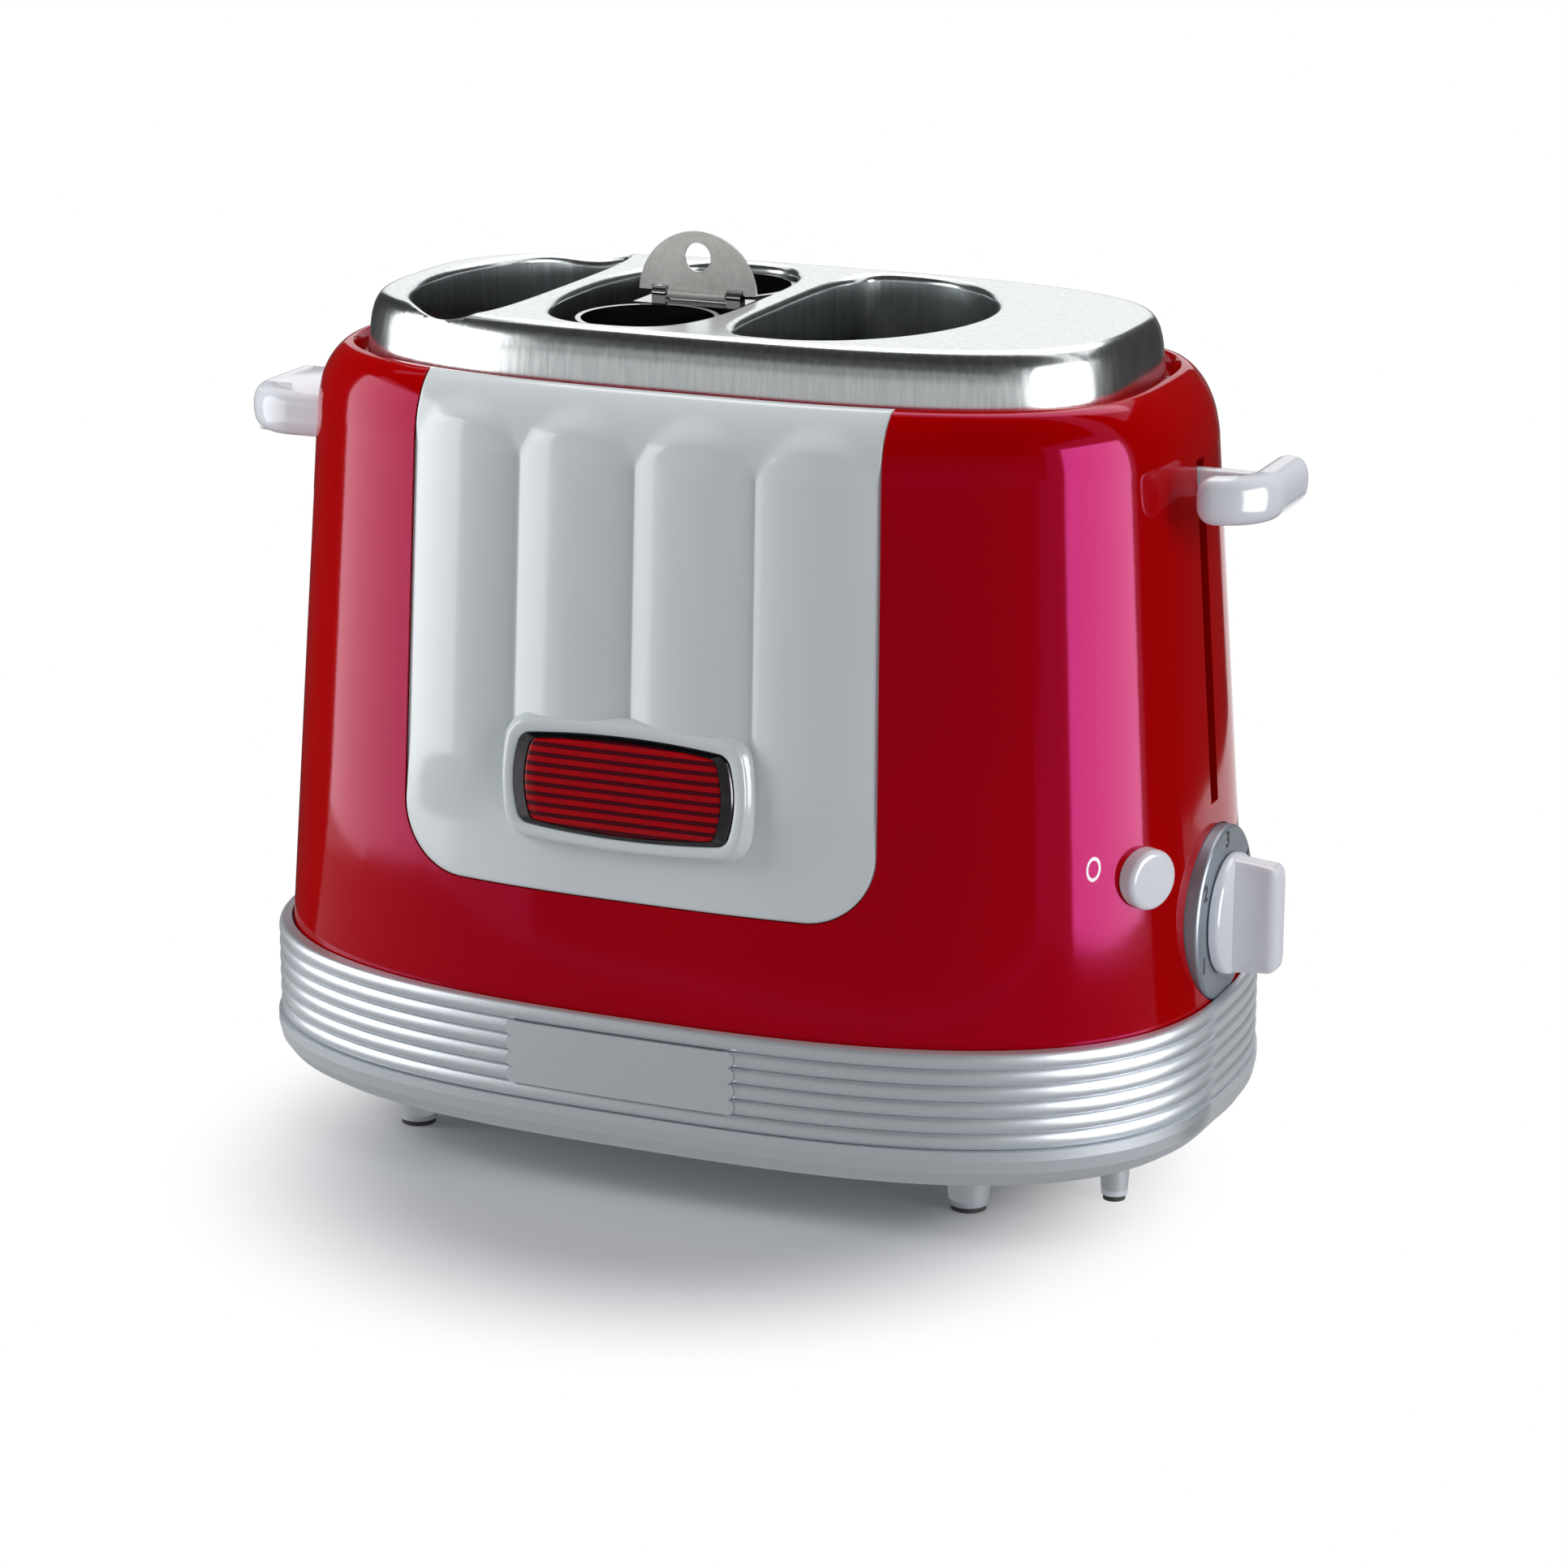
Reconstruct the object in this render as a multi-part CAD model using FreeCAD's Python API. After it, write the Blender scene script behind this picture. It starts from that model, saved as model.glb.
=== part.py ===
import FreeCAD, Part
import math
import os
from FreeCAD import Vector as V

os.makedirs("parts", exist_ok=True)

# Upright toaster for buns and sausages. Millimetres, +Z up, origin on the table
# under the middle of the object, front face towards -Y, lever end towards +X.

# Oval plan shapes: half length, half depth and roundness exponent.
BASE_A = 135.0
BASE_B = 84.8
BASE_N = 2.78
BODY_A = 133.7
BODY_B = 83.0
BODY_N = 2.64
BODY_DRAFT_A = 0.071
BODY_DRAFT_B = 0.064
CAP_A = 108.3
CAP_B = 58.2
CAP_N = 3.0

# Heights of the stacked housing parts.
FOOT_H = 13.0
TRAY_TOP = 25.1
RING_TOP = 51.2
LEDGE_Z = 47.0
SHOULDER_Z = 195.0
CREST_Z = 213.8
CREST_N = 3.0
WELL_Z = 208.0
CAP_TOP = 227.4

# Walls and clearances.
SHELL_WALL = 2.4
TRAY_WALL = 2.5
SHEET = 1.0
LINER_WALL = 0.8
CLEAR = 0.3
RUN_FIT = 0.06

# Base band with half-round beads and its plain plate.
BEADS = 6
BEAD_DEPTH = 1.4
LEDGE_W = 3.9
FRONT_X = -4.0
PLATE_W = 62.0
PLATE_T = 2.2
PLATE_ARC = 40.0

# Bottom cover, feet and screws.
TRAY_A = 136.4
TRAY_B = 86.2
TRAY_N = 2.86
TRAY_ROUND = 9.5
FOOT_X = 81.5
FOOT_Y = 51.5
FOOT_R = 6.2
FOOT_TIP_R = 5.2
END_FOOT_X = 114.5
END_FOOT_Y = 30.0
END_FOOT_R = 4.2
END_FOOT_TIP_R = 3.5
PAD_H = 1.5
SCREW_X = 102.0
SCREW_Y = 56.5
SCREW_R = 1.6
SCREW_HEAD_R = 2.9
SCREW_HEAD_H = 1.8
BOSS_R = 4.5

# Crumb tray that slides out at the back.
PAN_HALF = 89.0
PAN_H = 6.0
PAN_FRONT = -62.0
PAN_BACK = 70.0
PAN_MOUTH = 40.0
PAN_WALL = 0.8

# Shoulder, well and throat of the red housing.
SHOULDER = [(0.0, 0.0), (5.0, 0.75), (9.5, 2.2), (13.5, 4.5), (16.6, 7.2), (18.8, 10.2)]
WELL_A = 111.6
WELL_B = 60.6
WELL_DRAFT = 1.2
THROAT_A = 104.6
THROAT_B = 55.6

# White fluted panel in the front of the housing.
PANEL_HALF_TOP = 65.8
PANEL_HALF_LOW = 68.4
PANEL_LOW = 82.0
PANEL_CORNER = 19.0
PANEL_T = 1.7
FLUTES = 4
FLUTE_DEPTH = 3.2
FLUTE_TOP = 205.0
FLUTE_ARCH = 9.0
FLUTE_LOW = 96.0
FLUTE_FADE = 22.0

# Badge on the panel: barrel-shaped frame and domed plate.
BADGE_Z = 112.8
BADGE_W = 62.4
BADGE_H = 26.8
BADGE_END_H = 23.4
BADGE_BOW = 2.2
BADGE_RIM = 2.6
BADGE_CORNER = 3.6
BADGE_T = 2.4
BADGE_SEAT = 4.6
BOSS_MARGIN = 3.6

# Steel cap: plan shapes of the three openings, lips drawn down.
CAP_SECTIONS = [(0.0, 0.0), (8.0, 0.7), (13.0, 1.3), (16.4, 2.4), (18.5, 3.8), (19.4, 5.6)]
OPEN_HALF = 48.0
LEFT_OPEN = (-64.0, 33.0, 2.0, 5.5, 3.0)
MID_OPEN = (-25.0, 27.0, 2.4, 23.5, 3.2)
RIGHT_OPEN = (24.5, 18.3, 3.8, 39.0, 1.95)
LIP_DEPTH = 20.0
LINER_GAP = 2.3
LINER_TOP = 205.0
LINER_SIDES = 4

# Inner frame.
PLATE_SHEET = 1.2
END_LEFT_X = -106.0
END_RIGHT_X = 78.0
END_HALF = 44.0
END_TOP = 200.0
ARM_Y = 30.0
ARM_T = 1.6
ARM_H = 6.0
ARM_SLOT = 2.2

# Carriage and its travel.
TRAVEL = 78.0
SUPPORT_Z = 138.0
SUPPORT_T = 1.2
SUPPORT_INSET = 3.0
MAST_X = 98.0
MAST_HALF = 34.0
MAST_TOP = 192.0
ROD_X = 105.0
ROD_Y = 24.0
ROD_R = 3.0
SLEEVE_H = 12.0
SLEEVE_HALF = 4.7
SPRING_R = 4.6
SPRING_WIRE = 0.8
ARMATURE_T = 2.6

# Lever and fixed grip.
SLOT_HALF = 2.9
SLOT_LOW = 103.0
SLOT_TOP = 194.8
PADDLE_H = 12.6
PADDLE_FRONT = -25.0
PADDLE_BACK = 15.5
PADDLE_T = 10.0
PADDLE_OUT = 149.0
PADDLE_CORNER = 17.0
PADDLE_GAP = 0.8
PADDLE_ROUND = 4.2
LEVER_Z = 188.8
GRIP_Z = 189.6
NECK_HALF = 2.2
NECK_H = 7.2
ARM_BAR = 1.0

# Timer dial and knob on the right end.
DIAL_Z = 73.0
DIAL_R = 23.5
DIAL_FACE = 133.6
DIAL_BACK = 127.0
KNOB_R = 16.3
KNOB_DISC = 3.2
KNOB_END = PADDLE_OUT
BLADE_HALF = 4.6
BLADE_TOP_R = 15.0
SHAFT_R = 3.0
TIMER_T = 7.6

# Stop button on the front right corner, pushed along its own axis.
BTN_X = 123.0
BTN_Y = -37.6
BTN_Z = 92.4
BTN_ANGLE = -27.4
BTN_R = 8.0
BTN_OUT = 4.4
BTN_STROKE = 3.0
BTN_STEM_R = 2.4
BTN_STEM_END = -5.0
BTN_FLANGE_R = 9.6
SWITCH_HALF = 2.4

# Sausage basket: two tubes, a bridge and a hinged tab.
TUBE_X = -22.5
TUBE_R = 18.5
TUBE_WALL = 0.8
FRONT_TUBE_Y = -24.0
REAR_TUBE_Y = 27.5
TUBE_TOP = 225.0
TAB_X = -20.5
TAB_Y = 4.0
TAB_R = 17.2
TAB_T = 1.0
TAB_HOLE_R = 3.9
TAB_HOLE_UP = 10.2
HINGE_Z = 226.3
PIN_R = 0.8
KNUCKLE_R = 1.7

# Heaters and electrics.
BOARD_T = 1.0
BOARD_HALF = 26.0
BOARD_LOW = 62.0
BOARD_TOP = 198.0
LEFT_OUT_X = -103.2
LEFT_IN_X = -51.8
RIGHT_IN_X = -0.5
RIGHT_OUT_X = 69.5
RIBBON_T = 0.4
RIBBONS = 9
MAGNET_H = 18.0


def power_point(t, a, b, m):
    c = math.cos(t)
    s = math.sin(t)
    x = a * math.copysign(abs(c) ** (2.0 / m), c)
    y = b * math.copysign(abs(s) ** (2.0 / m), s)
    return x, y


# Points at equal steps of length along one quarter of an oval, ends included.
def quarter(a, b, m, steps):
    fine = [power_point(0.5 * math.pi * i / 400.0, a, b, m) for i in range(401)]
    run = [0.0]
    for p, q in zip(fine, fine[1:]):
        run.append(run[-1] + math.hypot(q[0] - p[0], q[1] - p[1]))
    out = []
    j = 0
    for i in range(steps + 1):
        want = run[-1] * i / steps
        while j < 399 and run[j + 1] < want:
            j += 1
        k = (want - run[j]) / (run[j + 1] - run[j])
        out.append((fine[j][0] + (fine[j + 1][0] - fine[j][0]) * k,
                    fine[j][1] + (fine[j + 1][1] - fine[j][1]) * k))
    return out


def oval_points(a, b, n, count=28):
    q = quarter(a, b, n, count // 4)
    pts = q[:-1]
    pts += [(-x, y) for x, y in reversed(q[1:])]
    pts += [(-x, -y) for x, y in q[:-1]]
    pts += [(x, -y) for x, y in reversed(q[1:])]
    return pts


def oval_wire(a, b, n, z, count=28):
    pts = [V(x, y, z) for x, y in oval_points(a, b, n, count)]
    curve = Part.BSplineCurve()
    curve.interpolate(Points=pts, PeriodicFlag=True)
    return Part.Wire([curve.toShape()])


def oval_slab(a, b, n, z, h):
    return Part.Face(oval_wire(a, b, n, z)).extrude(V(0, 0, h))


def stack(sections, ruled=True):
    wires = [oval_wire(a, b, n, z) for a, b, n, z in sections]
    return Part.makeLoft(wires, True, ruled)


def box(x0, x1, y0, y1, z0, z1):
    return Part.makeBox(x1 - x0, y1 - y0, z1 - z0, V(x0, y0, z0))


def rod(x, y, z0, z1, r):
    return Part.makeCylinder(r, z1 - z0, V(x, y, z0))


def rod_x(x0, x1, y, z, r):
    return Part.makeCylinder(r, x1 - x0, V(x0, y, z), V(1, 0, 0))


def fuse(shapes):
    out = shapes[0]
    if len(shapes) > 1:
        out = out.multiFuse(shapes[1:])
    return out.removeSplitter()


def save(name, shape):
    solids = shape.Solids
    out = solids[0] if len(solids) == 1 else Part.makeCompound(solids)
    out.exportStep("parts/" + name + ".step")


def body_a(z):
    return BODY_A - BODY_DRAFT_A * (z - LEDGE_Z)


def body_b(z):
    return BODY_B - BODY_DRAFT_B * (z - LEDGE_Z)


def shoulder_inset(z):
    up = z - SHOULDER_Z
    if up <= 0:
        return 0.0
    for (u0, i0), (u1, i1) in zip(SHOULDER, SHOULDER[1:]):
        if up <= u1:
            return i0 + (i1 - i0) * (up - u0) / (u1 - u0)
    return SHOULDER[-1][1]


def body_section(z, inset=0.0):
    zl = min(z, SHOULDER_Z)
    drop = shoulder_inset(z) + inset
    up = max(0.0, z - SHOULDER_Z) / (CREST_Z - SHOULDER_Z)
    return (body_a(zl) - drop, body_b(zl) - drop, BODY_N + (CREST_N - BODY_N) * up, z)


def body_y(x, z):
    a, b, n, _ = body_section(z)
    return b * max(0.0, 1.0 - abs(x / a) ** n) ** (1.0 / n)


def body_solid(inset, z0, z1):
    low = stack([body_section(z0, inset), body_section(SHOULDER_Z, inset)])
    tops = [SHOULDER_Z + u for u, _ in SHOULDER if SHOULDER_Z + u < z1 - 0.5]
    up = stack([body_section(z, inset) for z in tops + [z1]])
    return low.fuse(up)


# Base band: beads run right round, each a half circle in section.
def base_band():
    pitch = (RING_TOP - TRAY_TOP) / BEADS
    sections = []
    for i in range(BEADS):
        mid = TRAY_TOP + (i + 0.5) * pitch
        for ang in (90, 40, -40):
            out = BEAD_DEPTH * math.cos(math.radians(ang))
            z = mid - pitch / 2.0 * math.sin(math.radians(ang))
            sections.append((BASE_A + out, BASE_B + out, BASE_N, z))
    sections.append((BASE_A, BASE_B, BASE_N, RING_TOP))
    ring = stack(sections)
    pocket = oval_slab(BODY_A + CLEAR, BODY_B + CLEAR, BODY_N, LEDGE_Z, RING_TOP)
    bore = oval_slab(BODY_A - LEDGE_W, BODY_B - LEDGE_W, BODY_N, 0, RING_TOP)
    ring = ring.cut(pocket).cut(bore)
    bosses = [rod(sx * SCREW_X, sy * SCREW_Y, TRAY_TOP, LEDGE_Z, BOSS_R)
              for sx in (-1, 1) for sy in (-1, 1)]
    ring = fuse([ring] + bosses)
    for sx in (-1, 1):
        for sy in (-1, 1):
            ring = ring.cut(rod(sx * SCREW_X, sy * SCREW_Y, TRAY_TOP, LEDGE_Z, SCREW_R + RUN_FIT))
    return ring.cut(plate_blank(0.0))


# Plain plate in the band: ends bulge like the beads that stop at it.
def plate_blank(grow):
    pitch = (RING_TOP - TRAY_TOP) / BEADS
    z0 = TRAY_TOP + pitch - grow
    z1 = RING_TOP - pitch + grow
    half = PLATE_W / 2.0 + grow
    slab = box(FRONT_X - half, FRONT_X + half, -BASE_B - 10, -BASE_B + 8, z0, z1)
    for i in range(1, BEADS - 1):
        zm = TRAY_TOP + (i + 0.5) * pitch
        for side in (-1, 1):
            bulge = Part.makeCylinder(pitch / 2.0, 18, V(FRONT_X + side * half, -BASE_B - 10, zm), V(0, 1, 0))
            slab = slab.fuse(bulge)
    skin = oval_slab(BASE_A + BEAD_DEPTH, BASE_B + BEAD_DEPTH, BASE_N, z0 - 5, z1 - z0 + 10)
    core = oval_slab(BASE_A + BEAD_DEPTH - PLATE_T, BASE_B + BEAD_DEPTH - PLATE_T, BASE_N, z0 - 6, z1 - z0 + 12)
    return slab.common(skin).cut(core).removeSplitter()


# Tray with a quarter-round lower edge.
def tray_stack(inset, z0, z1, r):
    sections = []
    for ang in (90, 67, 45, 22, 0):
        drop = inset + r - r * math.cos(math.radians(ang))
        z = z0 + r - r * math.sin(math.radians(ang))
        sections.append((TRAY_A - drop, TRAY_B - drop, TRAY_N, z))
    sections.append((TRAY_A - inset, TRAY_B - inset, TRAY_N, z1))
    return stack(sections)


def tray_outer():
    return tray_stack(0.0, FOOT_H, TRAY_TOP, TRAY_ROUND)


def foot_post(x, y, r, tip):
    return Part.makeCone(tip, r, FOOT_H - PAD_H, V(x, y, PAD_H))


def foot_places():
    main = [(sx * FOOT_X, sy * FOOT_Y, FOOT_R, FOOT_TIP_R) for sx in (-1, 1) for sy in (-1, 1)]
    ends = [(sx * END_FOOT_X, sy * END_FOOT_Y, END_FOOT_R, END_FOOT_TIP_R) for sx in (-1, 1) for sy in (-1, 1)]
    return main + ends


def pan_space(grow, y0):
    z0 = FOOT_H + TRAY_WALL + CLEAR
    return box(-PAN_HALF - grow, PAN_HALF + grow, y0, TRAY_B + 10, z0 - grow, z0 + PAN_H + grow)


def bottom_cover(outer):
    hollow = tray_stack(TRAY_WALL, FOOT_H + TRAY_WALL, TRAY_TOP + 5, TRAY_ROUND - TRAY_WALL)
    shell = outer.cut(hollow)
    adds = []
    for sx in (-1, 1):
        for sy in (-1, 1):
            adds.append(rod(sx * SCREW_X, sy * SCREW_Y, FOOT_H + TRAY_WALL - 0.5, TRAY_TOP, BOSS_R))
    shell = fuse([shell] + adds)
    for sx in (-1, 1):
        for sy in (-1, 1):
            shell = shell.cut(rod(sx * SCREW_X, sy * SCREW_Y, 0, TRAY_TOP + 1, SCREW_R + RUN_FIT))
            shell = shell.cut(rod(sx * SCREW_X, sy * SCREW_Y, 0, FOOT_H + SCREW_HEAD_H, SCREW_HEAD_R + 0.2))
    return shell.cut(pan_space(CLEAR, PAN_MOUTH))


def crumb_tray(outer):
    z0 = FOOT_H + TRAY_WALL + CLEAR
    pan = box(-PAN_HALF, PAN_HALF, PAN_FRONT, PAN_BACK, z0, z0 + PAN_H)
    pan = pan.cut(box(-PAN_HALF + PAN_WALL, PAN_HALF - PAN_WALL, PAN_FRONT + PAN_WALL, PAN_BACK,
                      z0 + PAN_WALL, z0 + PAN_H + 1))
    lip = outer.common(pan_space(0.0, PAN_BACK))
    return fuse([pan, lip])


def screws():
    out = []
    for sx in (-1, 1):
        for sy in (-1, 1):
            x = sx * SCREW_X
            y = sy * SCREW_Y
            head = rod(x, y, FOOT_H, FOOT_H + SCREW_HEAD_H, SCREW_HEAD_R)
            out.append(head.fuse(rod(x, y, FOOT_H + SCREW_HEAD_H, LEDGE_Z - 2, SCREW_R)).removeSplitter())
    return Part.makeCompound(out)


def feet():
    return Part.makeCompound([foot_post(*p) for p in foot_places()])


def foot_pads():
    return Part.makeCompound([rod(x, y, 0, PAD_H, tip - 0.5) for x, y, _, tip in foot_places()])


# Prism that outlines the front panel, rounded at its lower corners.
def panel_prism():
    top = CREST_Z + 2
    pts = [V(FRONT_X - PANEL_HALF_TOP, 0, top), V(FRONT_X + PANEL_HALF_TOP, 0, top),
           V(FRONT_X + PANEL_HALF_LOW, 0, PANEL_LOW), V(FRONT_X - PANEL_HALF_LOW, 0, PANEL_LOW)]
    prism = Part.Face(Part.makePolygon(pts + [pts[0]])).extrude(V(0, -BODY_B - 12, 0))
    edges = []
    for e in prism.Edges:
        bb = e.BoundBox
        if bb.ZMax < PANEL_LOW + 0.01 and bb.YLength > 50:
            edges.append(e)
    return prism.makeFillet(PANEL_CORNER, edges)


def flute_height(x, z):
    half = PANEL_HALF_TOP + (PANEL_HALF_LOW - PANEL_HALF_TOP) * (CREST_Z - z) / (CREST_Z - PANEL_LOW)
    u = (x - FRONT_X + half) / (2.0 * half) * FLUTES
    if u <= 0 or u >= FLUTES:
        return 0.0
    w = 2.0 * (u - math.floor(u)) - 1.0
    crown = 1.0 - abs(w) ** 2.2
    top = (FLUTE_TOP - FLUTE_ARCH * w * w - z) / 9.0
    low = (z - FLUTE_LOW) / FLUTE_FADE
    top = min(1.0, max(0.0, top))
    low = min(1.0, max(0.0, low))
    ease = top * top * (3 - 2 * top) * low * low * (3 - 2 * low)
    return FLUTE_DEPTH * ease * (crown - 0.25)


# The fluted front is one surface through a grid worked out from the body's own
# outline plus the flutes, thickened inwards.
def fluted_block():
    cols = FLUTES * 10
    rows = [PANEL_LOW - 6 + 6 * i for i in range(4)]
    rows += [FLUTE_LOW + 6 + FLUTE_FADE / 3.0 * i for i in range(4)]
    span = FLUTE_TOP - 20 - rows[-1]
    rows += [rows[-1] + span * i / 3.0 for i in range(1, 4)]
    rows += [FLUTE_TOP - 20 + 3.6 * i for i in range(1, 8)]
    rows += [CREST_Z - 1.7, CREST_Z + 0.6]
    grid = []
    for z in rows:
        half = PANEL_HALF_TOP + (PANEL_HALF_LOW - PANEL_HALF_TOP) * (CREST_Z - z) / (CREST_Z - PANEL_LOW)
        line = []
        for i in range(-1, cols + 2):
            x = FRONT_X - half + 2.0 * half * i / cols
            y = -body_y(x, min(z, CREST_Z)) - flute_height(x, z)
            line.append(V(x, y, z))
        grid.append(line)
    surf = Part.BSplineSurface()
    surf.interpolate(grid)
    return surf.toShape().extrude(V(0, 40, 0))


def barrel_wire(w, h, end_h, bow, z, y):
    x = w / 2.0
    e = end_h / 2.0
    t = h / 2.0
    p = [V(FRONT_X - x + bow, y, z - e), V(FRONT_X + x - bow, y, z - e),
         V(FRONT_X + x - bow, y, z + e), V(FRONT_X - x + bow, y, z + e)]
    arcs = [Part.Arc(p[0], V(FRONT_X, y, z - t), p[1]), Part.Arc(p[1], V(FRONT_X + x, y, z), p[2]),
            Part.Arc(p[2], V(FRONT_X, y, z + t), p[3]), Part.Arc(p[3], V(FRONT_X - x, y, z), p[0])]
    return Part.Wire([a.toShape() for a in arcs])


def barrel(grow, y0, y1):
    w = barrel_wire(BADGE_W + 2 * grow, BADGE_H + 2 * grow, BADGE_END_H + 2 * grow, BADGE_BOW, BADGE_Z, y0)
    solid = Part.Face(w).extrude(V(0, y1 - y0, 0))
    edges = [e for e in solid.Edges if e.BoundBox.YLength > abs(y1 - y0) - 0.01]
    solid = solid.makeFillet(max(1.0, BADGE_CORNER + grow), edges)
    solid.rotate(V(FRONT_X, -body_y(FRONT_X, BADGE_Z), BADGE_Z), V(1, 0, 0), -math.degrees(math.atan(BODY_DRAFT_B)))
    return solid


def button_axis():
    a = math.radians(BTN_ANGLE)
    return V(math.cos(a), math.sin(a), 0)


def button_rod(r, start, end):
    n = button_axis()
    p = V(BTN_X, BTN_Y, BTN_Z) + n * start
    return Part.makeCylinder(r, end - start, p, n)


def opening_wire(spec, grow, z):
    xc, w_left, m_left, w_right, m_right = spec
    half = OPEN_HALF + grow
    right = quarter(w_right + grow, half, m_right, 9)
    left = quarter(w_left + grow, half, m_left, 8)
    pts = [V(xc + x, y, z) for x, y in right[:-1]]
    pts += [V(xc - x, y, z) for x, y in reversed(left[1:])]
    pts += [V(xc - x, -y, z) for x, y in left[:-1]]
    pts += [V(xc + x, -y, z) for x, y in reversed(right[1:])]
    curve = Part.BSplineCurve()
    curve.interpolate(Points=pts, PeriodicFlag=True)
    return Part.Wire([curve.toShape()])


def opening_slab(spec, grow, z0, z1):
    return Part.Face(opening_wire(spec, grow, z0)).extrude(V(0, 0, z1 - z0))


def cap_outer():
    return stack([(CAP_A - d, CAP_B - d, CAP_N, WELL_Z + u) for u, d in CAP_SECTIONS])


# Space under the cap's sheet, with a clearance where the lips hang in it.
def cap_inner(gap):
    share = (CAP_TOP - SHEET - WELL_Z) / (CAP_TOP - WELL_Z)
    sections = []
    for u, d in CAP_SECTIONS:
        drop = d + SHEET + gap
        sections.append((CAP_A - drop, CAP_B - drop, CAP_N, WELL_Z + u * share))
    low = sections[0]
    return stack([(low[0], low[1], low[2], WELL_Z - LIP_DEPTH)] + sections)


# Drawn steel cap: flat top sheet with the three openings, and the side below it.
def cap():
    shell = cap_outer().cut(cap_inner(0.0))
    for spec in (LEFT_OPEN, MID_OPEN, RIGHT_OPEN):
        shell = shell.cut(opening_slab(spec, 0.0, CAP_TOP - SHEET - 2, CAP_TOP + 2))
    return shell


def cap_part(shell, z0, z1):
    return shell.common(box(-CAP_A - 5, CAP_A + 5, -CAP_B - 5, CAP_B + 5, z0, z1))


# Lip that hangs from the rim of one opening of the cap.
def cap_lip(spec):
    top = CAP_TOP - SHEET
    ring = opening_slab(spec, SHEET, CAP_TOP - LIP_DEPTH, top)
    ring = ring.cut(opening_slab(spec, 0.0, CAP_TOP - LIP_DEPTH - 1, top + 1))
    return ring.common(cap_inner(RUN_FIT))


# Plan corners of a well's liner: flat sheets follow the opening's outline.
def liner_corners(spec, grow):
    xc, w_left, m_left, w_right, m_right = spec
    half = OPEN_HALF + grow
    right = quarter(w_right + grow, half, m_right, LINER_SIDES)
    left = quarter(w_left + grow, half, m_left, LINER_SIDES)
    pts = [(xc + x, y) for x, y in right[1:]]
    pts += [(xc - x, y) for x, y in reversed(left[1:-1])]
    pts += [(xc - x, -y) for x, y in left[1:]]
    pts += [(xc + x, -y) for x, y in reversed(right[1:-1])]
    return pts


# Liner of a bun well, bent from sheet, with windows for the heat and slots for
# the carriage's arms in the sheets that cross them.
def liner(spec, slot_sides):
    base = LEDGE_Z + PLATE_SHEET
    g = SHEET + LINER_GAP
    inner = liner_corners(spec, g)
    outer = liner_corners(spec, g + LINER_WALL)
    xc = spec[0]
    windows = []
    slots = []
    for row in range(3):
        z0 = 76 + row * 42
        windows.append(box(xc - 60, xc + 60, -8, 8, z0, z0 + 30))
    for side in slot_sides:
        for sy in (-1, 1):
            slots.append(box(min(xc, xc + side * 60), max(xc, xc + side * 60), sy * ARM_Y - ARM_SLOT,
                             sy * ARM_Y + ARM_SLOT, base - 1, SUPPORT_Z + 4))
    sheets = []
    count = len(inner)
    for i in range(count):
        j = (i + 1) % count
        plan = [inner[i], inner[j], outer[j], outer[i]]
        wire = Part.makePolygon([V(x, y, base) for x, y in plan + plan[:1]])
        sheet = Part.Face(wire).extrude(V(0, 0, LINER_TOP - base))
        for tool in windows + slots:
            sheet = sheet.cut(tool)
        sheets += sheet.Solids
    return Part.makeCompound(sheets)


def end_plate(x, slots):
    base = LEDGE_Z + PLATE_SHEET
    plate = box(x, x + PLATE_SHEET, -END_HALF, END_HALF, base, END_TOP)
    foot = box(x - 8, x + PLATE_SHEET, -END_HALF, END_HALF, base, base + PLATE_SHEET)
    plate = fuse([plate, foot])
    if slots:
        for sy in (-1, 1):
            plate = plate.cut(box(x - 9, x + 3, sy * ARM_Y - ARM_SLOT, sy * ARM_Y + ARM_SLOT,
                                  base + PLATE_SHEET, SUPPORT_Z + 4))
    for row in range(3):
        plate = plate.cut(box(x - 1, x + 3, -14, 14, 84 + 40 * row, 100 + 40 * row))
    return plate


def base_plate():
    plate = oval_slab(BODY_A - SHELL_WALL - CLEAR, BODY_B - SHELL_WALL - CLEAR, BODY_N, LEDGE_Z, PLATE_SHEET)
    for spec in (LEFT_OPEN, RIGHT_OPEN, MID_OPEN):
        plate = plate.cut(opening_slab(spec, -SUPPORT_INSET, LEDGE_Z - 1, LEDGE_Z + 3))
    return plate


def carriage_frame():
    top = SUPPORT_Z
    arms = [box(LEFT_OPEN[0] - 12, MAST_X, sy * ARM_Y - ARM_T / 2, sy * ARM_Y + ARM_T / 2, top - ARM_H, top)
            for sy in (-1, 1)]
    mast = box(MAST_X, MAST_X + PLATE_SHEET, -MAST_HALF, MAST_HALF, top - ARM_H, MAST_TOP)
    mast = mast.cut(box(MAST_X - 1, MAST_X + 3, -13, 13, top + 16, MAST_TOP - 14))
    return fuse(arms + [mast])


def bun_support(spec):
    return opening_slab(spec, -SUPPORT_INSET, SUPPORT_Z, SUPPORT_Z + SUPPORT_T)


def sleeves():
    x0 = MAST_X + PLATE_SHEET
    out = []
    for sy in (-1, 1):
        for z0 in (SUPPORT_Z - ARM_H, MAST_TOP - SLEEVE_H):
            blk = box(x0, ROD_X + SLEEVE_HALF, sy * ROD_Y - SLEEVE_HALF, sy * ROD_Y + SLEEVE_HALF, z0, z0 + SLEEVE_H)
            out.append(blk.cut(rod(ROD_X, sy * ROD_Y, z0 - 1, z0 + SLEEVE_H + 1, ROD_R + RUN_FIT)))
    return Part.makeCompound(out)


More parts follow.
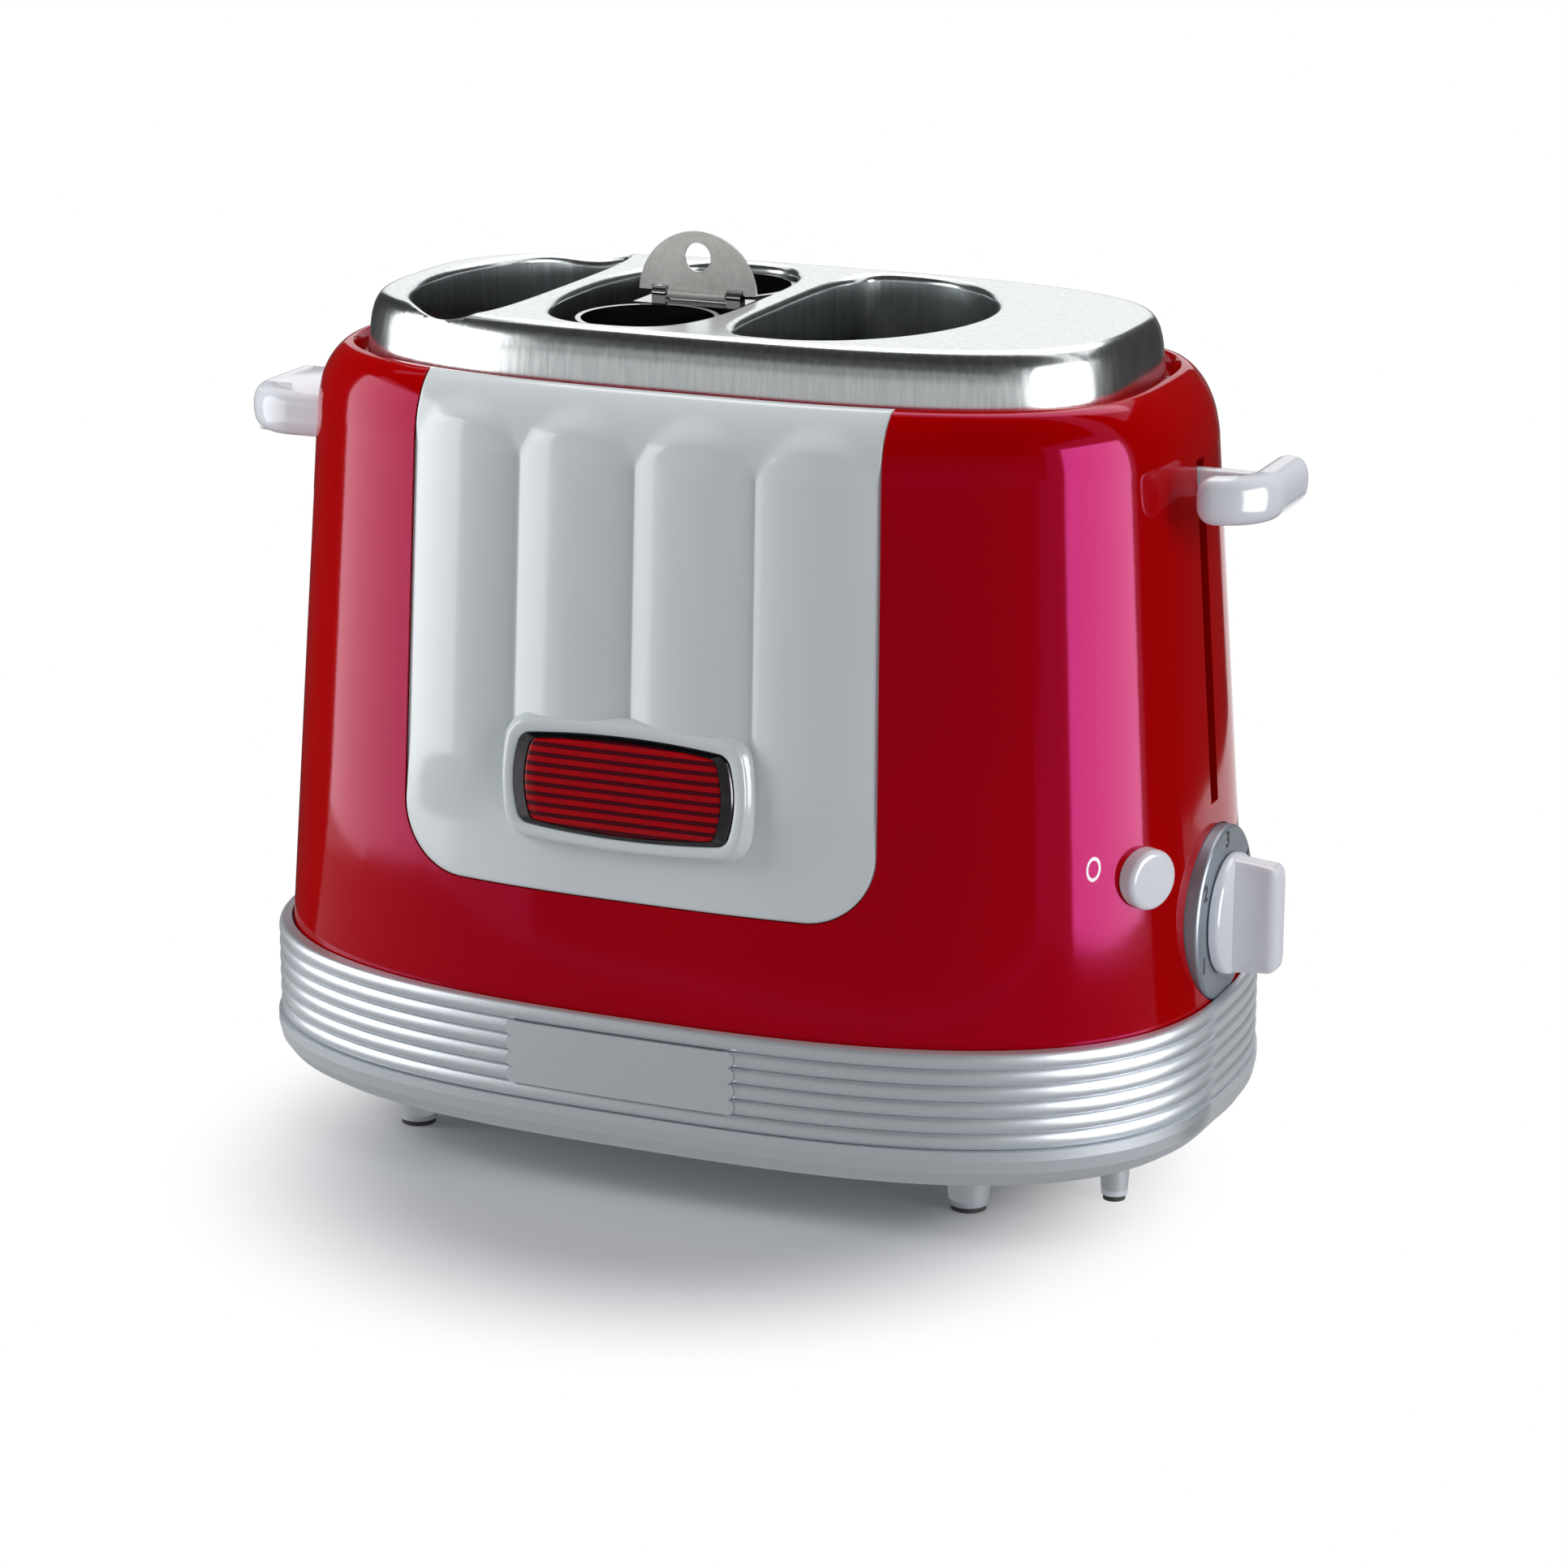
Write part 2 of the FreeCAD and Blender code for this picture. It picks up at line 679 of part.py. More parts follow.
def spring(sy):
    z0 = LEDGE_Z + PLATE_SHEET
    z1 = SUPPORT_Z - ARM_H
    coil = rod(ROD_X, sy * ROD_Y, z0, z1, SPRING_R)
    return coil.cut(rod(ROD_X, sy * ROD_Y, z0 - 1, z1 + 1, SPRING_R - SPRING_WIRE))


# Curved paddle: front leg along the end of the body, outer leg parallel to it.
def paddle(z_mid, x0):
    xo = PADDLE_OUT
    r = PADDLE_CORNER
    ri = r - PADDLE_T
    xi = xo - PADDLE_T
    yi = PADDLE_FRONT + PADDLE_T
    z0 = z_mid - PADDLE_H / 2.0
    k = math.sqrt(0.5)

    def p(x, y):
        return V(x, y, z0)
    edges = [
        Part.LineSegment(p(x0, PADDLE_FRONT), p(xo - r, PADDLE_FRONT)),
        Part.Arc(p(xo - r, PADDLE_FRONT), p(xo - r + r * k, PADDLE_FRONT + r - r * k), p(xo, PADDLE_FRONT + r)),
        Part.LineSegment(p(xo, PADDLE_FRONT + r), p(xo, PADDLE_BACK - PADDLE_T / 2)),
        Part.Arc(p(xo, PADDLE_BACK - PADDLE_T / 2), p(xo - PADDLE_T / 2, PADDLE_BACK), p(xi, PADDLE_BACK - PADDLE_T / 2)),
        Part.LineSegment(p(xi, PADDLE_BACK - PADDLE_T / 2), p(xi, yi + ri)),
        Part.Arc(p(xi, yi + ri), p(xi - ri + ri * k, yi + ri - ri * k), p(xi - ri, yi)),
        Part.LineSegment(p(xi - ri, yi), p(x0, yi)),
        Part.LineSegment(p(x0, yi), p(x0, PADDLE_FRONT)),
    ]
    solid = Part.Face(Part.Wire([e.toShape() for e in edges])).extrude(V(0, 0, PADDLE_H))
    rims = [e for e in solid.Edges if e.BoundBox.ZLength < 0.01]
    return solid.makeFillet(PADDLE_ROUND, rims)


def lever():
    neck = box(MAST_X + PLATE_SHEET + 18, PADDLE_OUT - PADDLE_T + 2, -NECK_HALF, NECK_HALF,
               LEVER_Z - NECK_H / 2, LEVER_Z + NECK_H / 2)
    widest = body_section(LEVER_Z - PADDLE_H / 2 - TRAVEL, -PADDLE_GAP)
    blade = paddle(LEVER_Z, widest[0] - 4.0)
    blade = blade.cut(oval_slab(widest[0], widest[1], widest[2], LEVER_Z - PADDLE_H, 2 * PADDLE_H))
    return fuse([blade, neck]).cut(lever_bar())


def lever_bar():
    return box(MAST_X + PLATE_SHEET, PADDLE_OUT - PADDLE_T - 2, -ARM_BAR, ARM_BAR,
               LEVER_Z - 2.4, LEVER_Z + 2.4)


def grip(outer):
    body = paddle(GRIP_Z, body_a(GRIP_Z) - 2.0).mirror(V(0, 0, 0), V(1, 0, 0))
    arm = box(-PADDLE_OUT + PADDLE_T - 2, -body_a(GRIP_Z) + 3, -6, 6, GRIP_Z - 4, GRIP_Z + 4)
    return fuse([body, arm]).cut(outer)


def dial():
    disc = rod_x(DIAL_BACK, DIAL_FACE, 0, DIAL_Z, DIAL_R)
    rim = [e for e in disc.Edges if e.BoundBox.XMin > DIAL_FACE - 0.01]
    disc = disc.makeFillet(1.0, rim)
    return disc.cut(rod_x(DIAL_BACK - 1, DIAL_FACE + 1, 0, DIAL_Z, SHAFT_R + 0.5))


def knob():
    x0 = DIAL_FACE + CLEAR
    disc = rod_x(x0, x0 + KNOB_DISC, 0, DIAL_Z, KNOB_R)
    blade = box(x0 + KNOB_DISC - 0.5, KNOB_END, -BLADE_HALF, BLADE_HALF, DIAL_Z - KNOB_R, DIAL_Z + KNOB_R)
    blade = blade.common(rod_x(x0, KNOB_END, 0, DIAL_Z, KNOB_R - 0.2))
    outer_rim = [e for e in blade.Edges if e.BoundBox.XMin > KNOB_END - 0.01]
    blade = blade.makeFillet(2.0, outer_rim)
    body = fuse([disc, blade])
    return body.cut(rod_x(x0 - 1, x0 + 9, 0, DIAL_Z, SHAFT_R))


def tube(y):
    r = TUBE_R
    z0 = SUPPORT_Z + 2 * SUPPORT_T
    wall = rod(TUBE_X, y, z0, TUBE_TOP, r).cut(rod(TUBE_X, y, z0 - 1, TUBE_TOP + 1, r - TUBE_WALL))
    lip = rod(TUBE_X, y, TUBE_TOP - 1.6, TUBE_TOP, r + 0.6).cut(rod(TUBE_X, y, TUBE_TOP - 3, TUBE_TOP + 1, r - TUBE_WALL))
    out = fuse([wall, lip])
    return out


def basket_floor():
    z0 = SUPPORT_Z + SUPPORT_T
    pads = [rod(TUBE_X, y, z0, z0 + SUPPORT_T, TUBE_R) for y in (FRONT_TUBE_Y, REAR_TUBE_Y)]
    pads.append(box(TUBE_X - 8, TUBE_X + 8, FRONT_TUBE_Y, REAR_TUBE_Y, z0, z0 + SUPPORT_T))
    plate = fuse(pads)
    for y in (FRONT_TUBE_Y, REAR_TUBE_Y):
        for dx in (-8, 0, 8):
            plate = plate.cut(box(TUBE_X + dx - 1.5, TUBE_X + dx + 1.5, y - 10, y + 10, z0 - 1, z0 + 3))
    return plate


def basket_bridge():
    top = HINGE_Z - KNUCKLE_R
    plate = box(TAB_X - 16, TAB_X + 14, TAB_Y - 7, TAB_Y + 7, top - SHEET, top)
    web = box(TUBE_X - 8, TUBE_X + 8, TAB_Y - 8, TAB_Y + 8, SUPPORT_Z + 2 * SUPPORT_T, top - SHEET)
    web = web.common(box(TUBE_X - 30, TUBE_X + 30, TAB_Y - 0.5, TAB_Y + 1.0, 0, 300))
    knuckles = [rod_x(TAB_X - 13, TAB_X - 9, TAB_Y, HINGE_Z, KNUCKLE_R), rod_x(TAB_X + 9, TAB_X + 13, TAB_Y, HINGE_Z, KNUCKLE_R)]
    feet = [box(TAB_X - 13, TAB_X - 9, TAB_Y - KNUCKLE_R, TAB_Y + KNUCKLE_R, top - SHEET, HINGE_Z),
            box(TAB_X + 9, TAB_X + 13, TAB_Y - KNUCKLE_R, TAB_Y + KNUCKLE_R, top - SHEET, HINGE_Z)]
    body = fuse([plate, web] + knuckles + feet)
    for y in (FRONT_TUBE_Y, REAR_TUBE_Y):
        body = body.cut(rod(TUBE_X, y, SUPPORT_Z - 5, TUBE_TOP + 5, TUBE_R + 0.6))
    return body.cut(rod_x(TAB_X - 20, TAB_X + 20, TAB_Y, HINGE_Z, PIN_R))


def tab():
    disc = Part.makeCylinder(TAB_R, TAB_T, V(TAB_X, TAB_Y - TAB_T / 2, HINGE_Z), V(0, 1, 0))
    disc = disc.cut(box(TAB_X - 30, TAB_X + 30, TAB_Y - 9, TAB_Y + 9, HINGE_Z - 40, HINGE_Z + 0.2))
    for x0, x1 in ((-13.4, -8.6), (8.6, 13.4)):
        disc = disc.cut(box(TAB_X + x0, TAB_X + x1, TAB_Y - 9, TAB_Y + 9, HINGE_Z - 4, HINGE_Z + KNUCKLE_R + CLEAR))
    roll = rod_x(TAB_X - 8.4, TAB_X + 8.4, TAB_Y, HINGE_Z, KNUCKLE_R - 0.1)
    body = fuse([disc, roll])
    body = body.cut(Part.makeCylinder(TAB_HOLE_R, 8, V(TAB_X, TAB_Y - 4, HINGE_Z + TAB_HOLE_UP), V(0, 1, 0)))
    return body.cut(rod_x(TAB_X - 20, TAB_X + 20, TAB_Y, HINGE_Z, PIN_R + RUN_FIT))


def heater(x):
    board = box(x - BOARD_T / 2, x + BOARD_T / 2, -BOARD_HALF, BOARD_HALF, LEDGE_Z + PLATE_SHEET, BOARD_TOP)
    return board


def ribbons():
    out = []
    for x, side in ((LEFT_OUT_X, 1), (LEFT_IN_X, -1), (RIGHT_IN_X, 1), (RIGHT_OUT_X, -1)):
        x0 = x + side * BOARD_T / 2
        x1 = x0 + side * RIBBON_T
        pitch = (BOARD_TOP - 8 - BOARD_LOW) / RIBBONS
        for i in range(RIBBONS):
            z = BOARD_LOW + (i + 0.5) * pitch
            out.append(box(min(x0, x1), max(x0, x1), -BOARD_HALF + 3, BOARD_HALF - 3, z, z + 1.6))
    return Part.makeCompound(out)


body_out = body_solid(0.0, LEDGE_Z, CREST_Z)
prism = panel_prism()
core = body_solid(PANEL_T, LEDGE_Z - 1, WELL_Z)
well = stack([(WELL_A - WELL_DRAFT, WELL_B - WELL_DRAFT, CREST_N, WELL_Z), (WELL_A, WELL_B, CREST_N, CREST_Z + 1)])
throat = oval_slab(THROAT_A, THROAT_B, CAP_N, WELL_Z - 12, 20)
cavity = body_solid(SHELL_WALL, LEDGE_Z - 1, WELL_Z - SHELL_WALL)

slot = box(BODY_A - 30, BODY_A + 10, -SLOT_HALF, SLOT_HALF, SLOT_LOW, SLOT_TOP)
dial_hole = rod_x(DIAL_BACK - 8, BODY_A + 10, 0, DIAL_Z, DIAL_R + CLEAR)
btn_hole = button_rod(BTN_R + CLEAR, -12, 12)
shell = body_out.cut(cavity).cut(well).cut(throat)
shell = shell.cut(slot).cut(dial_hole).cut(btn_hole)
panel_zone = prism.common(body_out).cut(core).cut(well)
shell = shell.cut(panel_zone)
inlet = box(60, 84, 60, 100, 56, 68)
shell = shell.cut(inlet)
save("body_shell", shell)

panel = fluted_block().common(prism).cut(core).cut(well)
panel = panel.common(box(-200, 200, -200, 0, 0, CREST_Z))
seat_y = -body_y(FRONT_X, BADGE_Z) - 1.2
pad = barrel(BOSS_MARGIN, seat_y, seat_y + BADGE_SEAT).cut(core)
panel = fuse([panel, pad])
panel = panel.cut(barrel(CLEAR, seat_y - 5, seat_y + BADGE_T))
save("front_panel", panel)

frame = barrel(0.0, seat_y - 0.9, seat_y + BADGE_T).cut(barrel(-BADGE_RIM, seat_y - 5, seat_y + 8))
save("badge_frame", frame.cut(core))
face = barrel(-BADGE_RIM - 0.05, seat_y - 0.5, seat_y + BADGE_T)
save("badge_plate", face.cut(core))

ring = base_band()
save("base_ring", ring)
save("name_plate", plate_blank(-0.15))
tray_shape = tray_outer()
save("bottom_cover", bottom_cover(tray_shape))
save("crumb_tray", crumb_tray(tray_shape))
save("cover_screws", screws())
save("feet", feet())
save("foot_pads", foot_pads())

cap_shell = cap()
save("top_cap", cap_part(cap_shell, CAP_TOP - SHEET, CAP_TOP))
save("cap_skirt", cap_part(cap_shell, WELL_Z, CAP_TOP - SHEET))
save("cap_lip_left", cap_lip(LEFT_OPEN))
save("cap_lip_middle", cap_lip(MID_OPEN))
save("cap_lip_right", cap_lip(RIGHT_OPEN))
save("base_plate", base_plate())
save("bun_liner_left", liner(LEFT_OPEN, (1,)))
save("bun_liner_right", liner(RIGHT_OPEN, (-1, 1)))
save("end_plate_left", end_plate(END_LEFT_X, False))
save("end_plate_right", end_plate(END_RIGHT_X, True))
save("heater_left_outer", heater(LEFT_OUT_X))
save("heater_left_inner", heater(LEFT_IN_X))
save("heater_right_inner", heater(RIGHT_IN_X))
save("heater_right_outer", heater(RIGHT_OUT_X))
save("heater_ribbons", ribbons())
rods = [rod(ROD_X, sy * ROD_Y, LEDGE_Z + PLATE_SHEET, WELL_Z - SHELL_WALL, ROD_R) for sy in (-1, 1)]
save("guide_rods", Part.makeCompound(rods))
magnet_z = LEDGE_Z + PLATE_SHEET
save("latch_magnet", box(MAST_X + PLATE_SHEET + 2, MAST_X + 17, -11, 11, magnet_z, magnet_z + MAGNET_H))
save("control_board", box(-116, -114.4, -34, 34, magnet_z, magnet_z + 70))
timer_x = DIAL_BACK - TIMER_T
save("timer_switch", box(timer_x, DIAL_BACK, -14, 14, DIAL_Z - 13, DIAL_Z + 13).cut(
    rod_x(timer_x - 1, DIAL_BACK + 1, 0, DIAL_Z, SHAFT_R + RUN_FIT)))
save("dial_ring", dial())
save("left_grip", grip(body_out))
inlet_fill = box(60.3, 83.7, 60, 100, 56.3, 67.7).common(body_out.cut(cavity))
save("cord_bushing", inlet_fill.cut(Part.makeCylinder(3.5, 60, V(72, 50, 62), V(0, 1, 0))))
n_btn = button_axis()
sw = V(BTN_X, BTN_Y, BTN_Z) + n_btn * (BTN_STEM_END - BTN_STROKE - 1.5 * SWITCH_HALF)
save("stop_switch", box(sw.x - SWITCH_HALF, sw.x + SWITCH_HALF, sw.y - SWITCH_HALF, sw.y + SWITCH_HALF,
                        magnet_z, BTN_Z + 4))

save("carriage_frame", carriage_frame())
save("bun_support_left", bun_support(LEFT_OPEN))
save("bun_support_right", bun_support(RIGHT_OPEN))
save("basket_support", bun_support(MID_OPEN))
save("carriage_sleeves", sleeves())
arm_z = magnet_z + MAGNET_H + TRAVEL + CLEAR
save("latch_armature", box(MAST_X + PLATE_SHEET, MAST_X + 16, -9, 9, arm_z, arm_z + ARMATURE_T))
save("lever_bar", lever_bar())
save("lever_knob", lever())
save("return_springs", Part.makeCompound([spring(-1), spring(1)]))

save("basket_tube_front", tube(FRONT_TUBE_Y))
save("basket_tube_rear", tube(REAR_TUBE_Y))
save("basket_floor", basket_floor())
save("basket_bridge", basket_bridge())
save("basket_tab", tab())
save("tab_pin", rod_x(TAB_X - 13, TAB_X + 13, TAB_Y, HINGE_Z, PIN_R))

save("timer_knob", knob())
save("timer_shaft", rod_x(timer_x, DIAL_FACE + CLEAR + 9, 0, DIAL_Z, SHAFT_R))
cap_btn = button_rod(BTN_R, -1.0, BTN_OUT)
rim_btn = [e for e in cap_btn.Edges if e.Curve.TypeId == "Part::GeomCircle"]
front_rim = [e for e in rim_btn if (e.CenterOfMass - V(BTN_X, BTN_Y, BTN_Z)).dot(n_btn) > 1]
cap_btn = cap_btn.makeFillet(1.6, front_rim)
stem = button_rod(BTN_STEM_R, BTN_STEM_END, -0.9)
flange = button_rod(BTN_FLANGE_R, BTN_STEM_END, BTN_STEM_END + 1.0)
save("stop_button", fuse([cap_btn, stem, flange]))
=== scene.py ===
import bmesh
import bpy
import math
from mathutils import Matrix, Vector
from mathutils.geometry import delaunay_2d_cdt


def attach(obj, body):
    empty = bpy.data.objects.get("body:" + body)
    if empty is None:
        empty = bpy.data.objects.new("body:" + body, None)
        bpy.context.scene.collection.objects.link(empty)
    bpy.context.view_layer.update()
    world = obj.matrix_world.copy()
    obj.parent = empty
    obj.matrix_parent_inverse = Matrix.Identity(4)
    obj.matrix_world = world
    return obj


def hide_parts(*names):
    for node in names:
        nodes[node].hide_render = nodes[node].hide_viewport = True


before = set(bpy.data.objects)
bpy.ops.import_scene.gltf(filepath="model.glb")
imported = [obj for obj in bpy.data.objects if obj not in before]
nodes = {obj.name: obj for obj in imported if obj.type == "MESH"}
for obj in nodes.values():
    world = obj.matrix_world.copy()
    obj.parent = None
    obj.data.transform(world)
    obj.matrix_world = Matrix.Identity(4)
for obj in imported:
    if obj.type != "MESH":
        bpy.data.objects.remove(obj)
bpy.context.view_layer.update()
MM = 0.001

# Sizes in millimetres, most of them the solids' own. The flutes end higher than theirs.
# An oval is given by its half width A, half depth B and exponent N.
BODY_A, BODY_B, BODY_N = 133.7, 83.0, 2.64
BODY_DRAFT_A, BODY_DRAFT_B = 0.071, 0.064
LEDGE_Z, SHOULDER_Z, CREST_Z, WELL_Z, CAP_TOP = 47.0, 195.0, 213.8, 208.0, 227.4
CREST_N = 3.0
# Height over the shoulder, and how far the housing has drawn in there.
SHOULDER = [(0.0, 0.0), (5.0, 0.75), (9.5, 2.2), (13.5, 4.5), (16.6, 7.2), (18.8, 10.2)]
SHELL_WALL = 2.4
WELL_A, WELL_B = 111.6, 60.6
THROAT_A, THROAT_B = 104.6, 55.6
BASE_A, BASE_B, BASE_N = 135.0, 84.8, 2.78
TRAY_TOP, RING_TOP = 25.1, 51.2
BEADS, BEAD_DEPTH = 6, 1.4
LEDGE_W = 3.9
FRONT_X = -4.0
PLATE_W = 62.0
CAP_A, CAP_B, CAP_N = 108.3, 58.2, 3.0
# Side of the cap: height over the well's floor, and how far it has drawn in.
CAP_SIDE = [(0.0, 0.0), (8.0, 0.7), (13.0, 1.3), (16.4, 2.4), (18.5, 3.8), (19.4, 5.6)]
# Round edge and top of the cap: how far in from its lower outline, and height over the floor.
CAP_ROUND = [(1.3, 13.0), (1.7, 14.8), (2.4, 16.5), (3.1, 17.7),
             (3.9, 18.6), (4.9, 19.15), (6.0, 19.38), (7.2, 19.4)]
CAP_SIDE_TOP = 13.0
# Distances in from the lower outline at which the top has points.
CAP_INSETS = (1.55, 1.85, 2.2, 2.6, 3.0, 3.4, 3.8, 4.2, 4.6, 5.0, 5.4, 5.8, 6.2, 6.7, 7.3, 8.5, 10.5)
OPEN_HALF = 48.0
# Openings of the cap: middle, then half width and exponent of the left half and of the right.
OPENINGS = [(-64.0, 33.0, 2.0, 5.5, 3.0), (-25.0, 27.0, 2.4, 23.5, 3.2), (24.5, 18.3, 3.8, 39.0, 1.95)]
OPENING_STEPS = 144
LIP_DEPTH, LIP_ROUND, SHEET = 20.0, 2.2, 1.0
PANEL_HALF_TOP, PANEL_HALF_LOW, PANEL_LOW, PANEL_CORNER = 65.8, 68.4, 82.0, 19.0
PANEL_RECESS, PANEL_T, PANEL_GAP, PANEL_EDGE = 1.7, 1.6, 0.15, 0.9
FLUTES, FLUTE_DEPTH, FLUTE_TOP, FLUTE_ARCH = 4, 3.2, 210.5, 9.0
FLUTE_LOW, FLUTE_FADE, FLUTE_END = 96.0, 22.0, 7.0
DIAL_Z, DIAL_R, DIAL_FACE = 73.0, 23.5, 133.6
SLOT_HALF, SLOT_LOW, SLOT_TOP = 2.9, 103.0, 194.8
BUTTON_AT, BUTTON_ANGLE, BUTTON_R = (123.0, -37.6, 92.4), -27.4, 8.0
BADGE_Z, BADGE_W, BADGE_H, BADGE_END_H = 112.8, 62.4, 26.8, 23.4
BADGE_BOW, BADGE_CORNER, BADGE_T, BADGE_PROUD = 2.2, 3.6, 2.4, 2.8
BOSS_MARGIN, BOSS_ROUND, STRIPE_PITCH = 3.6, 1.2, 2.65
PADDLE_H, PADDLE_T, PADDLE_CORNER, PADDLE_N = 12.6, 10.0, 17.0, 2.5
PADDLE_FRONT, PADDLE_BACK, PADDLE_OUT = -25.0, 15.5, 149.0
LEVER_Z, GRIP_Z, NECK_HALF, BLOCK_ROUND = 188.8, 189.6, 2.2, 1.0
KNOB_R, BLADE_HALF, BLADE_ROUND, BLADE_N = 16.3, 4.6, 2.6, 6.0
MARK_AT, MARK_TURN, MARK_RADII = (114.0, -50.5, 97.0), -33.0, (1.85, 2.6)
AROUND = 288


# ---------------------------------------------------------------- materials
def material(name):
    m = bpy.data.materials.new(name)
    m.use_nodes = True
    return m, m.node_tree, m.node_tree.nodes["Principled BSDF"]


def noise(tree, scale, stretch=(1, 1, 1), detail=3.0, rough=0.5):
    coord = tree.nodes.new("ShaderNodeTexCoord")
    mapping = tree.nodes.new("ShaderNodeMapping")
    mapping.inputs["Scale"].default_value = stretch
    tex = tree.nodes.new("ShaderNodeTexNoise")
    tex.inputs["Scale"].default_value = scale
    tex.inputs["Detail"].default_value = detail
    tex.inputs["Roughness"].default_value = rough
    tree.links.new(coord.outputs["Object"], mapping.inputs["Vector"])
    tree.links.new(mapping.outputs["Vector"], tex.inputs["Vector"])
    return tex.outputs["Fac"]


def ramp(tree, fac, low, high, at=(0.3, 0.7)):
    r = tree.nodes.new("ShaderNodeValToRGB")
    r.color_ramp.elements[0].position = at[0]
    r.color_ramp.elements[1].position = at[1]
    r.color_ramp.elements[0].color = (*low, 1)
    r.color_ramp.elements[1].color = (*high, 1)
    tree.links.new(fac, r.inputs["Fac"])
    return r.outputs["Color"]


def spread(tree, fac, low, high):
    r = tree.nodes.new("ShaderNodeMapRange")
    r.inputs["To Min"].default_value = low
    r.inputs["To Max"].default_value = high
    tree.links.new(fac, r.inputs["Value"])
    return r.outputs["Result"]


def bump(tree, shader, fac, strength, distance):
    b = tree.nodes.new("ShaderNodeBump")
    b.inputs["Strength"].default_value = strength
    b.inputs["Distance"].default_value = distance
    tree.links.new(fac, b.inputs["Height"])
    tree.links.new(b.outputs["Normal"], shader.inputs["Normal"])


# Moulded plastic: colour drifts a little, gloss varies a little, faint orange peel.
def plastic(name, low, high, rough, peel=0.03, tint=(1, 1, 1), level=0.5):
    m, t, s = material(name)
    s.inputs["Specular Tint"].default_value = (*tint, 1)
    s.inputs["Specular IOR Level"].default_value = level
    t.links.new(ramp(t, noise(t, 9.0), low, high), s.inputs["Base Color"])
    t.links.new(spread(t, noise(t, 60.0), rough * 0.85, rough * 1.2), s.inputs["Roughness"])
    bump(t, s, noise(t, 160.0), peel, 0.0004)
    return m


# Metal or metallic paint: one grain varies its colour, its gloss and its relief.
def metal(name, low, high, rough, grain, scale, stretch=(1, 1, 1), metallic=1.0):
    m, t, s = material(name)
    fac = noise(t, scale, stretch, 4.0, 0.6)
    t.links.new(ramp(t, fac, low, high), s.inputs["Base Color"])
    t.links.new(spread(t, fac, rough * 0.8, rough * 1.25), s.inputs["Roughness"])
    s.inputs["Metallic"].default_value = metallic
    bump(t, s, fac, grain, 0.0002)
    return m


red = plastic("red_gloss", (0.37, 0.0, 0.0), (0.42, 0.0, 0.0), 0.08, tint=(1.0, 0.10, 0.60), level=0.35)
white = plastic("white_gloss", (0.65, 0.69, 0.70), (0.69, 0.725, 0.735), 0.15)
small_white = plastic("white_controls", (0.75, 0.76, 0.81), (0.79, 0.80, 0.85), 0.14)
silver = metal("silver_paint", (0.56, 0.59, 0.63), (0.64, 0.675, 0.71), 0.36, 0.02, 2600.0, metallic=0.6)
dial_silver = metal("dial_paint", (0.24, 0.27, 0.31), (0.29, 0.32, 0.36), 0.40, 0.02, 2600.0, metallic=0.6)
steel = metal("brushed_steel", (0.70, 0.74, 0.75), (0.86, 0.89, 0.90), 0.20, 0.06, 60.0, (14, 14, 0.25))
bright = metal("bright_steel", (0.62, 0.62, 0.62), (0.68, 0.68, 0.68), 0.07, 0.02, 200.0)
satin = metal("satin_steel", (0.64, 0.63, 0.60), (0.76, 0.75, 0.72), 0.33, 0.10, 700.0, metallic=0.5)
sheet = metal("plain_sheet", (0.30, 0.30, 0.30), (0.42, 0.42, 0.41), 0.30, 0.08, 90.0, (1, 1, 0.2))
dark_chrome = metal("dark_chrome", (0.055, 0.052, 0.056), (0.085, 0.08, 0.086), 0.14, 0.02, 300.0)
mica = plastic("mica_card", (0.60, 0.52, 0.38), (0.74, 0.66, 0.52), 0.5)
ribbon = metal("ribbon", (0.16, 0.13, 0.11), (0.30, 0.25, 0.20), 0.35, 0.1, 300.0)
rubber = plastic("rubber", (0.03, 0.03, 0.03), (0.05, 0.05, 0.05), 0.7, 0.15)
circuit = plastic("circuit_card", (0.02, 0.12, 0.05), (0.03, 0.18, 0.08), 0.4)
black = plastic("black_plastic", (0.015, 0.015, 0.015), (0.03, 0.03, 0.03), 0.4, 0.1)
brass = metal("brass", (0.55, 0.38, 0.14), (0.66, 0.48, 0.20), 0.25, 0.05, 300.0)
print_black = plastic("print_black", (0.01, 0.01, 0.01), (0.02, 0.02, 0.02), 0.5)
print_white = plastic("print_white", (0.80, 0.80, 0.80), (0.85, 0.85, 0.85), 0.4)


# Red badge plate with darker pinstripes across.
def badge_material():
    m, t, s = material("badge_red")
    coord = t.nodes.new("ShaderNodeTexCoord")
    split = t.nodes.new("ShaderNodeSeparateXYZ")
    t.links.new(coord.outputs["Object"], split.inputs["Vector"])
    turn = t.nodes.new("ShaderNodeMath")
    turn.operation = "MULTIPLY"
    turn.inputs[1].default_value = 2.0 * math.pi / (STRIPE_PITCH * MM)
    t.links.new(split.outputs["Z"], turn.inputs[0])
    wave = t.nodes.new("ShaderNodeMath")
    wave.operation = "SINE"
    t.links.new(turn.outputs["Value"], wave.inputs[0])
    t.links.new(ramp(t, wave.outputs["Value"], (0.40, 0.0, 0.003), (0.07, 0.0, 0.006), (0.02, 0.2)),
                s.inputs["Base Color"])
    t.links.new(spread(t, noise(t, 80.0), 0.10, 0.18), s.inputs["Roughness"])
    s.inputs["Specular IOR Level"].default_value = 0.15
    return m


badge_red = badge_material()

